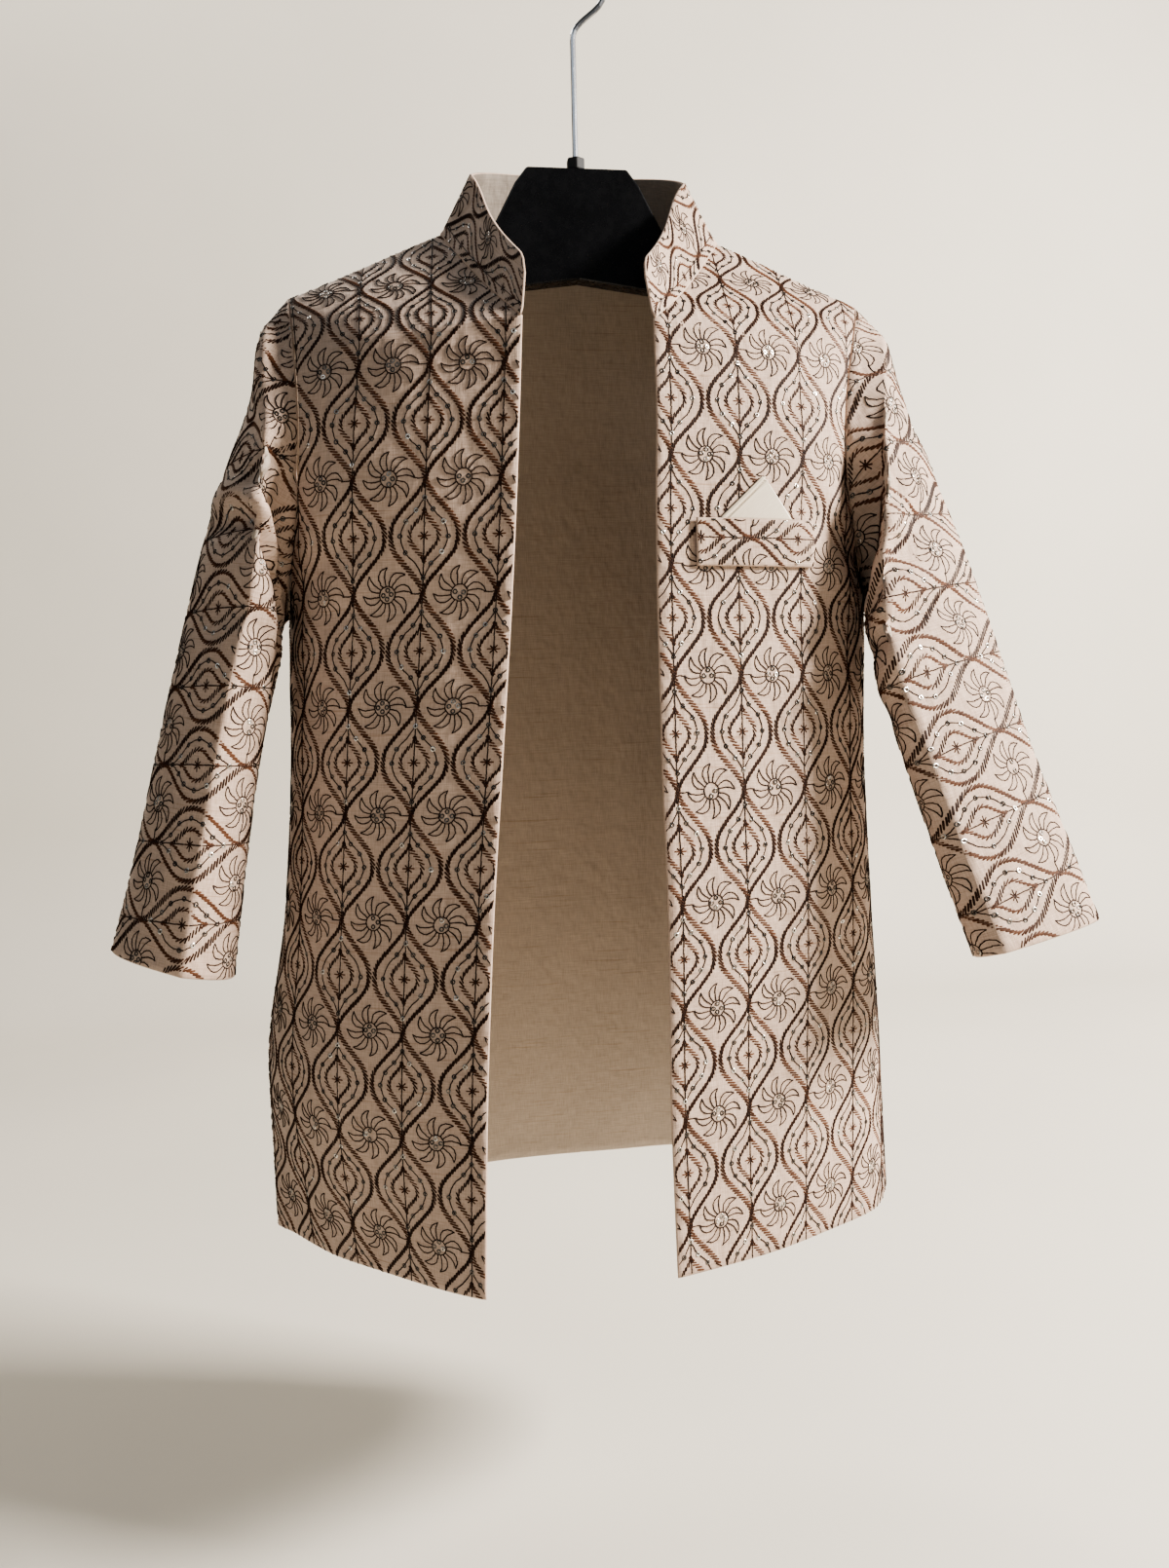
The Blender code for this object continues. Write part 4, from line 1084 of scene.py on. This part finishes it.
def sequin_shape():
    """A sequin's ring: three loops of points, and its triangles."""
    turn = 2 * math.pi * np.arange(SEQUIN_SIDES) / SEQUIN_SIDES
    loops = ((1.0, 0.15), (0.80, 0.42), (SEQUIN[1] / SEQUIN[0], 0.20))
    points = [(far * math.cos(a), far * math.sin(a), up) for far, up in loops for a in turn]
    faces = []
    for band in range(2):
        for i in range(SEQUIN_SIDES):
            j = (i + 1) % SEQUIN_SIDES
            a, b = band * SEQUIN_SIDES + i, band * SEQUIN_SIDES + j
            c, d = b + SEQUIN_SIDES, a + SEQUIN_SIDES
            faces += [(a, b, c), (a, c, d)]
    return np.array(points), np.array(faces)


def sequin_rings(cloth, origin, turn, own=None):
    """Points and triangles of the sequins all over a cloth."""
    spots = tiled(cloth, SEQUINS, origin, turn)
    spots += CHANCE.normal(0.0, SEQUIN_WANDER, spots.shape)
    spots = spots[on_cloth(cloth, spots[:, 0], spots[:, 1], own)]
    spots = spots[CHANCE.random(len(spots)) < SEQUINS_LEFT]
    shape, faces = sequin_shape()
    flat = spots[:, None] + shape[None, :, :2] * SEQUIN[0]
    tilt = CHANCE.normal(0.0, SEQUIN_TILT, (len(spots), 1, 2))
    lift = shape[None, :, 2] + (shape[None, :, :2] * tilt).sum(axis=2) * SEQUIN[0]
    lift = np.maximum(lift, SEQUIN_LOWEST).ravel()
    points = cloth.place(flat[:, :, 0].ravel(), flat[:, :, 1].ravel(), lift)
    shade = np.repeat(CHANCE.random(len(spots)), len(shape))
    return points, all_copies(faces, len(spots), len(shape)), shade


def embroider(name, layers):
    """Sew the pattern on a piece: layers are (cloth, origin, turn, test of what is its own)."""
    kinds = {
        "ropes": (THICK, PLUMP, PLUMP_FACES, ROPE_HEIGHT, ROPE_THREAD),
        "lines": (THIN, FINE, FINE_FACES, LINE_HEIGHT, LINE_THREAD),
    }
    made = []
    for kind, (chart, shape, faces, height, made_of) in kinds.items():
        parts = [
            stitches(cloth, chart, origin, turn, shape, faces, height, own)
            for cloth, origin, turn, own in layers
        ]
        made.append(join_parts(f"{name}_{kind}", parts, made_of))
    parts = [sequin_rings(cloth, origin, turn, own) for cloth, origin, turn, own in layers]
    made.append(join_parts(f"{name}_sequins", parts, SEQUIN_METAL))
    return made


def join_parts(name, parts, made_of):
    """One object from parts with points, triangles and tones with painted gleam."""
    offsets = np.cumsum([0] + [len(part[0]) for part in parts[:-1]])
    points = np.concatenate([part[0] for part in parts])
    faces = np.concatenate([part[1] + offset for part, offset in zip(parts, offsets)])
    thing = mesh_object(name, points, faces, [made_of])
    add_attribute(thing, "shade", "FLOAT", np.concatenate([part[2] for part in parts]))
    return thing


# ------ materials
class Recipe:
    """A node material with a Principled shader, built up step by step."""

    def __init__(self, name, roughness, metallic=0.0, **constants):
        self.made = bpy.data.materials.new(name)
        self.made.use_nodes = True
        self.tree = self.made.node_tree
        self.shader = self.tree.nodes["Principled BSDF"]
        self.shader.inputs["Roughness"].default_value = roughness
        self.shader.inputs["Metallic"].default_value = metallic
        for key, value in constants.items():
            self.shader.inputs[key.replace("_", " ")].default_value = value

    def node(self, kind, links=(), **settings):
        """A node with settings, and links to its inputs as (input, output or value) pairs."""
        node = self.tree.nodes.new(kind)
        for key, value in settings.items():
            setattr(node, key, value)
        for key, value in links:
            self.feed(node.inputs[key], value)
        return node

    def feed(self, socket, value):
        """Link an output to a socket, or set the socket's value."""
        if hasattr(value, "is_output"):
            self.tree.links.new(value, socket)
        else:
            socket.default_value = value

    def stored(self, name, output="Vector"):
        """What is stored with the mesh's points."""
        return self.node("ShaderNodeAttribute", attribute_name=name).outputs[output]

    def place(self):
        """Places on the object, in metres."""
        return self.node("ShaderNodeTexCoord").outputs["Object"]

    def stretched_noise(self, source, stretch, detail=2.0, scale=1.0):
        """Noise over a vector that is first stretched."""
        mapped = self.node("ShaderNodeMapping", [("Vector", source), ("Scale", stretch)])
        noise = self.node(
            "ShaderNodeTexNoise",
            [("Vector", mapped.outputs[0]), ("Scale", scale), ("Detail", detail)],
        )
        return noise.outputs["Fac"]

    def ramp(self, source, stops):
        """Colours by a value: stops are (place, colour)."""
        node = self.node("ShaderNodeValToRGB", [("Fac", source)])
        steps = node.color_ramp.elements
        while len(steps) < len(stops):
            steps.new(0.5)
        for step, (place, colour) in zip(steps, stops):
            step.position = place
            step.color = (*colour, 1.0)
        return node.outputs["Color"]

    def math(self, kind, a, b):
        """A sum, product or the like."""
        return self.node("ShaderNodeMath", [(0, a), (1, b)], operation=kind).outputs[0]

    def blend(self, kind, share, a, b):
        """Two colours mixed."""
        node = self.node("ShaderNodeMix", data_type="RGBA", blend_type=kind)
        for name, value in (("Factor_Float", share), ("A_Color", a), ("B_Color", b)):
            self.feed(next(s for s in node.inputs if s.identifier == name), value)
        return next(s for s in node.outputs if s.identifier == "Result_Color")

    def colour(self, source):
        """Set the base colour."""
        self.feed(self.shader.inputs["Base Color"], source)

    def bump(self, source, strength, depth):
        """Bump from a value; depth in metres."""
        node = self.node(
            "ShaderNodeBump", [("Height", source), ("Strength", strength), ("Distance", depth)]
        )
        self.feed(self.shader.inputs["Normal"], node.outputs[0])


def woven(name, dark, light, slub, roughness=0.78):
    """Fine plain-woven cloth with thicker threads here and there."""
    gloss = {"Sheen_Weight": 0.15, "Sheen_Roughness": 0.4, "Specular_IOR_Level": 0.25}
    recipe = Recipe(name, roughness, **gloss)
    place = recipe.stored("cloth")
    warp = recipe.stretched_noise(place, (1.7, 0.12, 1.0))
    weft = recipe.stretched_noise(place, (0.10, 1.5, 1.0))
    threads = recipe.math("ADD", warp, weft)
    fine = recipe.ramp(recipe.math("MULTIPLY", threads, 0.5), [(0.36, dark), (0.64, light)])
    thick = recipe.stretched_noise(place, (0.018, 0.55, 1.0), 3.0)
    marks = recipe.ramp(thick, [(0.60, (1.0, 1.0, 1.0)), (0.72, slub)])
    cloudy = recipe.stretched_noise(place, (0.012, 0.012, 1.0), 3.0)
    cloud = recipe.ramp(cloudy, [(0.3, (0.93, 0.93, 0.93)), (0.7, (1.0, 1.0, 1.0))])
    colour = recipe.blend("MULTIPLY", 1.0, fine, marks)
    recipe.colour(recipe.blend("MULTIPLY", 1.0, colour, cloud))
    pucker = recipe.stretched_noise(place, (0.14, 0.10, 1.0), 1.0)
    relief = recipe.math("ADD", threads, thick)
    relief = recipe.math("ADD", relief, recipe.math("MULTIPLY", pucker, 7.0))
    recipe.bump(relief, 0.5, 0.0003)
    return recipe.made


def thread(name, dark, middle, light):
    """Embroidery thread, each stitch of its own tone; the lighter colours of level stitches are
    painted sheen.
    """
    recipe = Recipe(name, 0.6, Specular_IOR_Level=0.12)
    shade = recipe.stored("shade", "Fac")
    recipe.colour(recipe.ramp(shade, [(0.0, dark), (0.6, middle), (1.0, light)]))
    grain = recipe.stretched_noise(recipe.place(), (2500.0, 2500.0, 2500.0), 1.0)
    recipe.bump(grain, 0.25, 0.0001)
    return recipe.made


def sequin_material():
    """Small dark metal rings; a few are painted pale, as painted glints."""
    recipe = Recipe("sequin_gold", 0.26, 0.8)
    shade = recipe.stored("shade", "Fac")
    # The palest stop is painted glint: pale metal standing in for sequins that catch the light.
    stops = [(0.0, (0.05, 0.045, 0.04)), (0.75, (0.14, 0.125, 0.11)), (1.0, (0.85, 0.80, 0.72))]
    recipe.colour(recipe.ramp(shade, stops))
    return recipe.made


def satin_material():
    """The pocket square's smooth satin."""
    recipe = Recipe("square_satin_cloth", 0.38, Sheen_Weight=0.2)
    place = recipe.stored("cloth")
    ribs = recipe.stretched_noise(place, (3.0, 0.2, 1.0))
    recipe.colour(recipe.ramp(ribs, [(0.3, (0.56, 0.475, 0.36)), (0.7, (0.66, 0.575, 0.45))]))
    recipe.bump(ribs, 0.15, 0.0002)
    return recipe.made


def plastic_material():
    """The hanger's glossy black moulded plastic, with faint wear."""
    recipe = Recipe("hanger_gloss_plastic", 0.2)
    flow = recipe.stretched_noise(recipe.place(), (40.0, 40.0, 40.0), 3.0)
    recipe.colour(recipe.ramp(flow, [(0.3, (0.003, 0.003, 0.0035)), (0.7, (0.006, 0.006, 0.007))]))
    scuffs = recipe.stretched_noise(recipe.place(), (260.0, 260.0, 260.0), 4.0)
    recipe.bump(scuffs, 0.03, 0.0001)
    rough = recipe.ramp(scuffs, [(0.4, (0.25, 0.25, 0.25)), (0.75, (0.32, 0.32, 0.32))])
    recipe.feed(recipe.shader.inputs["Roughness"], rough)
    return recipe.made


def steel_material():
    """Bright drawn steel wire."""
    recipe = Recipe("hook_drawn_steel", 0.24, 1.0)
    drawn = recipe.stretched_noise(recipe.place(), (2500.0, 2500.0, 60.0), 2.0)
    recipe.colour(recipe.ramp(drawn, [(0.3, (0.22, 0.23, 0.25)), (0.7, (0.40, 0.41, 0.43))]))
    recipe.bump(drawn, 0.2, 0.0001)
    return recipe.made


def plain_material(name, colour, roughness=0.9):
    """Plain dull stuff, a little uneven: floor and backdrop, and the hanger's cap."""
    recipe = Recipe(name, roughness)
    soft = recipe.stretched_noise(recipe.place(), (3.0, 3.0, 3.0), 4.0)
    pale = tuple(min(1.0, c * 1.05) for c in colour)
    recipe.colour(recipe.ramp(soft, [(0.3, colour), (0.7, pale)]))
    return recipe.made


LINING_SLUB = (0.85, 0.81, 0.76)
EMBROIDERED = woven(
    "embroidered_cloth", (0.44, 0.318, 0.245), (0.63, 0.475, 0.378), (0.80, 0.75, 0.70)
)
LINING = woven("lining_cloth", (0.44, 0.36, 0.29), (0.56, 0.47, 0.385), LINING_SLUB, 0.7)
# A darker copy of the lining for the collar's inside: painted shade, as if the collar's inside lay
# in shadow.
SHADED_COLLAR_LINING = woven(
    "collar_lining_painted_shade_cloth", (0.17, 0.14, 0.113), (0.225, 0.187, 0.152), LINING_SLUB, 0.7
)
# Each thread's lighter colours go mostly to level stitches, as painted sheen.
ROPE_THREAD = thread(
    "rope_thread", (0.018, 0.008, 0.005), (0.050, 0.020, 0.010), (0.115, 0.048, 0.024)
)
LINE_THREAD = thread(
    "line_thread", (0.014, 0.007, 0.005), (0.022, 0.011, 0.008), (0.038, 0.019, 0.012)
)
SEQUIN_METAL = sequin_material()
SATIN = satin_material()


# ------ the pieces
# Soft creases pressed into each piece: from (u, t) to (u, t), depth, half width.
CREASES = {
    "right_front": (
        (-150, 325, -80, 365, 1.6, 9),
        (-148, 300, -100, 250, 1.3, 10),
        (-60, 20, -70, 330, 0.9, 16),
        (-120, 0, -128, 260, 1.1, 14),
        (-25, 60, -18, 420, 0.6, 12),
        (-70, 420, -110, 470, 1, 10),
    ),
    "left_front": (
        (150, 330, 90, 365, 1.8, 9),
        (148, 305, 105, 250, 1.4, 10),
        (60, 20, 66, 300, 0.8, 16),
        (115, 0, 120, 250, 1.1, 14),
        (30, 100, 26, 400, 0.5, 12),
        (75, 410, 110, 450, 1, 9),
    ),
    "back_right_half": (
        (36, 40, 42, 420, 1, 13),
        (92, 20, 84, 380, 1.3, 16),
        (170, 320, 96, 366, 1.6, 10),
        (60, 440, 112, 480, 1.2, 10),
    ),
    "back_left_half": (
        (-40, 60, -34, 400, 1, 13),
        (-84, 10, -90, 350, 1.4, 15),
        (-168, 330, -100, 360, 1.6, 10),
        (-56, 450, -110, 476, 1.1, 10),
    ),
    "right_sleeve": (
        (-14, 262, 22, 318, 2.4, 5),
        (-6, 300, -28, 366, 2, 5.5),
        (16, 262, 30, 350, 2.8, 4.5),
        (2, 285, 34, 306, 1.8, 4),
        (0, 330, 30, 344, 1.6, 4),
        (24, 236, 34, 176, 3.2, 4.5),
        (44, 226, 28, 186, 2.2, 4),
        (-40, 20, -30, 180, 1.1, 9),
        (-92, 40, -80, 220, 1.5, 12),
        (-120, 250, -140, 120, 1.5, 12),
        (-60, 300, -120, 330, 1.4, 9),
    ),
    "left_sleeve": (
        (10, 300, 55, 240, 1.8, 7),
        (5, 240, 62, 214, 2, 6),
        (30, 336, 62, 284, 1.5, 7),
        (15, 190, 50, 150, 1.2, 8),
        (60, 30, 72, 200, 1.2, 12),
        (-20, 176, -30, 262, 2, 5),
        (122, 60, 132, 240, 1.5, 14),
        (90, 300, 140, 330, 1.4, 9),
    ),
    "square": ((3.4, -20, 3.4, 45, 0.9, 0.8),),
}


def finish_cloth(thing, node, extras, rests_on=()):
    """Let a piece of cloth and what is sewn on it ride on the body, and hide the part it stands
    for.
    """
    for piece in [thing, *extras]:
        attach(piece, "root")
    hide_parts(node)
    rests_on, extras = list(rests_on), list(extras)


def make_front(side):
    """A front with its embroidery."""
    cloth = front_cloth(side)
    cloth.press(CREASES[cloth.name])
    thing = cloth_object(f"{cloth.name}_cloth", [cloth], CLOTH, [EMBROIDERED, LINING])
    turn = 0.0 if side > 0 else math.pi
    extras = embroider(cloth.name, [(cloth, (side * FIRST_COLUMN, 0.0), turn, None)])
    node = "front_right" if side < 0 else "front_left"
    finish_cloth(thing, node, extras, ["hanger_body"])
    return cloth


def make_back():
    """The back with its embroidery."""
    halves = [back_cloth(-1), back_cloth(1)]
    for half in halves:
        half.press(CREASES[half.name])
    columns = halves[0].u.shape[1]
    neck_row = halves[0].beyond[1]
    for name in ("points", "normals"):
        fields = [getattr(half, name) for half in halves]
        mean = (fields[0][: neck_row + 1, 0] + fields[1][: neck_row + 1, -1]) / 2
        mean = unit(mean) if name == "normals" else mean
        fields[0][: neck_row + 1, 0] = mean
        fields[1][: neck_row + 1, -1] = mean

    def middle_skip(column, limit):
        return lambda p, q: p[1] == column and q[1] == column and max(p[0], q[0]) <= limit

    skips = [middle_skip(0, neck_row), middle_skip(columns - 1, neck_row)]
    thing = cloth_object("back_cloth", halves, CLOTH, [EMBROIDERED, LINING], skips)
    tests = [lambda a: a >= 0.0, lambda a: a < 0.0]
    layers = [(half, BACK_STAR, 0.0, test) for half, test in zip(halves, tests)]
    extras = embroider("back", layers)
    finish_cloth(thing, "back", extras, ["hanger_body"])


def make_sleeve(side):
    """A sleeve with its embroidery."""
    cloth = sleeve_cloth(side)
    cloth.press(CREASES[cloth.name], True)
    thing = cloth_object(f"{cloth.name}_cloth", [cloth], CLOTH, [EMBROIDERED, LINING], tube=True)
    cloth.u = cloth.u / SLEEVE_STRETCH[side][0]
    cloth.t = cloth.t / SLEEVE_STRETCH[side][1]
    turn = math.pi / 2 + math.radians(SLEEVE_TURN[side])
    extras = embroider(cloth.name, [(cloth, SLEEVE_STAR[side], turn, None)])
    node = "sleeve_right" if side < 0 else "sleeve_left"
    finish_cloth(thing, node, extras)


def make_collar():
    """The collar with its embroidery."""
    cloth = collar_cloth()
    # The collar's inside is made of the darker lining, which is painted shade.
    thing = cloth_object("collar_cloth", [cloth], CLOTH, [EMBROIDERED, SHADED_COLLAR_LINING])
    extras = embroider("collar", [(cloth, COLLAR_STAR, math.pi / 2, None)])
    finish_cloth(thing, "collar", extras)


def patch_cloth(front, name, corners, lift, columns, rows):
    """A piece that lies on a front, between four (x, z) corners."""
    low_in, low_out, high_in, high_out = [np.array(c) for c in corners]
    v, u = np.meshgrid(np.linspace(0, 1, rows + 1), np.linspace(0, 1, columns + 1), indexing="ij")
    u, v = u[..., None], v[..., None]
    flat = (low_in * (1 - u) + low_out * u) * (1 - v) + (high_in * (1 - u) + high_out * u) * v
    x, z = flat[..., 0].ravel(), flat[..., 1].ravel()
    r, c, _ = front.locate(x, z, (front.points[:, :, 0], front.points[:, :, 2]))
    lifted = front.read(front.points, r, c) + unit(front.read(front.normals, r, c)) * lift
    grid = lifted.reshape(rows + 1, columns + 1, 3)
    return Cloth(name, grid, distance(grid, 1), distance(grid, 0))


def make_pocket(front):
    """The pocket's welt and the folded square in it."""
    (left, right), (low, high) = WELT_X, WELT_Z
    corners = ((left, low), (right, low), (left, high), (right, high))
    welt = patch_cloth(front, "welt", corners, PATCH_LIFT + WELT_CLOTH + WELT_STAND, *WELT_MESH)
    thing = cloth_object("pocket_welt_cloth", [welt], WELT_CLOTH, [EMBROIDERED, LINING])
    extras = embroider("pocket_welt", [(welt, WELT_STAR, math.pi / 2, None)])
    finish_cloth(thing, "pocket_welt", extras)
    left, right = SQUARE_FOOT_X
    tip_x, tip_z = SQUARE_TIP
    foot = high + SEAM_GAP + SQUARE_FOOT_GAP
    tips = ((tip_x - SQUARE_TIP_HALF, tip_z), (tip_x + SQUARE_TIP_HALF, tip_z))
    corners = ((left, foot), (right, foot), *tips)
    square = patch_cloth(front, "square", corners, PATCH_LIFT + SQUARE_STAND, *SQUARE_MESH)
    square.press(CREASES["square"])
    folded = cloth_object("pocket_square_cloth", [square], SQUARE_CLOTH, [SATIN, SATIN])
    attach(folded, "root")
    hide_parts("pocket_square")


def finish_hanger():
    """Better materials for the hanger's own solids."""
    finishes = {"hanger_body": plastic_material(), "hanger_hook": steel_material()}
    finishes["hanger_cap"] = plain_material("cap_plastic", (0.010, 0.010, 0.011), 0.7)
    for node, made_of in finishes.items():
        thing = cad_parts[node]
        for slot in thing.material_slots:
            slot.material = made_of


# ------ studio and camera
CAMERA = Vector((-0.1016, -0.7229, -0.427))
YAW = math.radians(7.763)
PITCH = math.radians(-5.0)
ROLL = math.radians(1.3)
FOCAL_SHARE = 1210.0 / 1610.0
SENSOR = 36.0
FLOOR_Z = -0.95
# The backdrop stands farther off than a camera that goes round the coat.
WALL_Y = 1.4
WALL_TOP = 1.6
BEND = 0.3
BEND_STEPS = 12
# Half the floor's and backdrop's width, and how far the floor reaches in front.
STAGE_HALF = 2.5
PAPER = (0.66, 0.62, 0.545)
#    name, place, target, size, power, colour
LIGHTS = (
    ("window", (2.1, -0.66, 0.66), (0.0, 0.0, -0.38), 0.5, 205.0, (1.0, 0.95, 0.89)),
    ("fill", (-1.3, -1.5, 0.9), (-0.1, 0.0, -0.35), 1.2, 6.0, (0.86, 0.93, 1.0)),
    ("back", (-0.7, 1.2, 1.3), (0.0, 0.0, -0.4), 0.8, 16.0, (1.0, 0.96, 0.91)),
)
# Colour and strength of the light from all round.
ROOM_LIGHT = ((0.88, 0.94, 1.0, 1.0), 0.075)


def make_camera():
    """The camera: a level direction, tilted down a little and rolled a little."""
    ahead = math.cos(PITCH)
    forward = Vector((math.sin(YAW) * ahead, math.cos(YAW) * ahead, math.sin(PITCH)))
    level = Vector((math.cos(YAW), -math.sin(YAW), 0.0))
    above = level.cross(forward)
    right = level * math.cos(ROLL) - above * math.sin(ROLL)
    up = above * math.cos(ROLL) + level * math.sin(ROLL)
    lens = bpy.data.cameras.new("camera")
    lens.sensor_fit = "VERTICAL"
    lens.sensor_height = SENSOR
    lens.lens = SENSOR * FOCAL_SHARE
    lens.clip_start = 0.01
    camera = bpy.data.objects.new("camera", lens)
    turn = Matrix((right, up, -forward)).transposed().to_4x4()
    camera.matrix_world = Matrix.Translation(CAMERA) @ turn
    bpy.context.scene.collection.objects.link(camera)
    bpy.context.scene.camera = camera


def make_stage():
    """A pale floor that bends up into a plain backdrop."""
    profile = [(-STAGE_HALF, FLOOR_Z)]
    for i in range(BEND_STEPS + 1):
        a = math.pi / 2 * i / BEND_STEPS
        profile.append((WALL_Y - BEND + BEND * math.sin(a), FLOOR_Z + BEND - BEND * math.cos(a)))
    profile.append((WALL_Y, WALL_TOP))
    points = [(x / MM, y / MM, z / MM) for y, z in profile for x in (-STAGE_HALF, STAGE_HALF)]
    faces = [(2 * i, 2 * i + 1, 2 * i + 3, 2 * i + 2) for i in range(len(profile) - 1)]
    floor = mesh_object("floor_and_backdrop", points, faces, [plain_material("pale_paper", PAPER)])


def area_light(name, place, target, size, power, colour):
    """A soft square light aimed at a point."""
    light = bpy.data.lights.new(name, "AREA")
    light.size = size
    light.energy = power
    light.color = colour
    thing = bpy.data.objects.new(name, light)
    thing.location = place
    thing.rotation_euler = (Vector(target) - Vector(place)).to_track_quat("-Z", "Y").to_euler()
    bpy.context.scene.collection.objects.link(thing)


def make_lights():
    """A window-like key light from the viewer's right, a dim even fill and a dim light behind."""
    for light in LIGHTS:
        area_light(*light)
    world = bpy.data.worlds.new("studio")
    world.use_nodes = True
    for socket, value in zip(world.node_tree.nodes["Background"].inputs, ROOM_LIGHT):
        socket.default_value = value
    bpy.context.scene.world = world
    bpy.context.scene.view_settings.look = "AgX - Medium High Contrast"


def main():
    """Build the coat, the studio and the camera."""
    make_camera()
    make_front(-1)
    left_front = make_front(1)
    make_back()
    make_sleeve(-1)
    make_sleeve(1)
    make_collar()
    make_pocket(left_front)
    finish_hanger()
    make_stage()
    make_lights()


main()
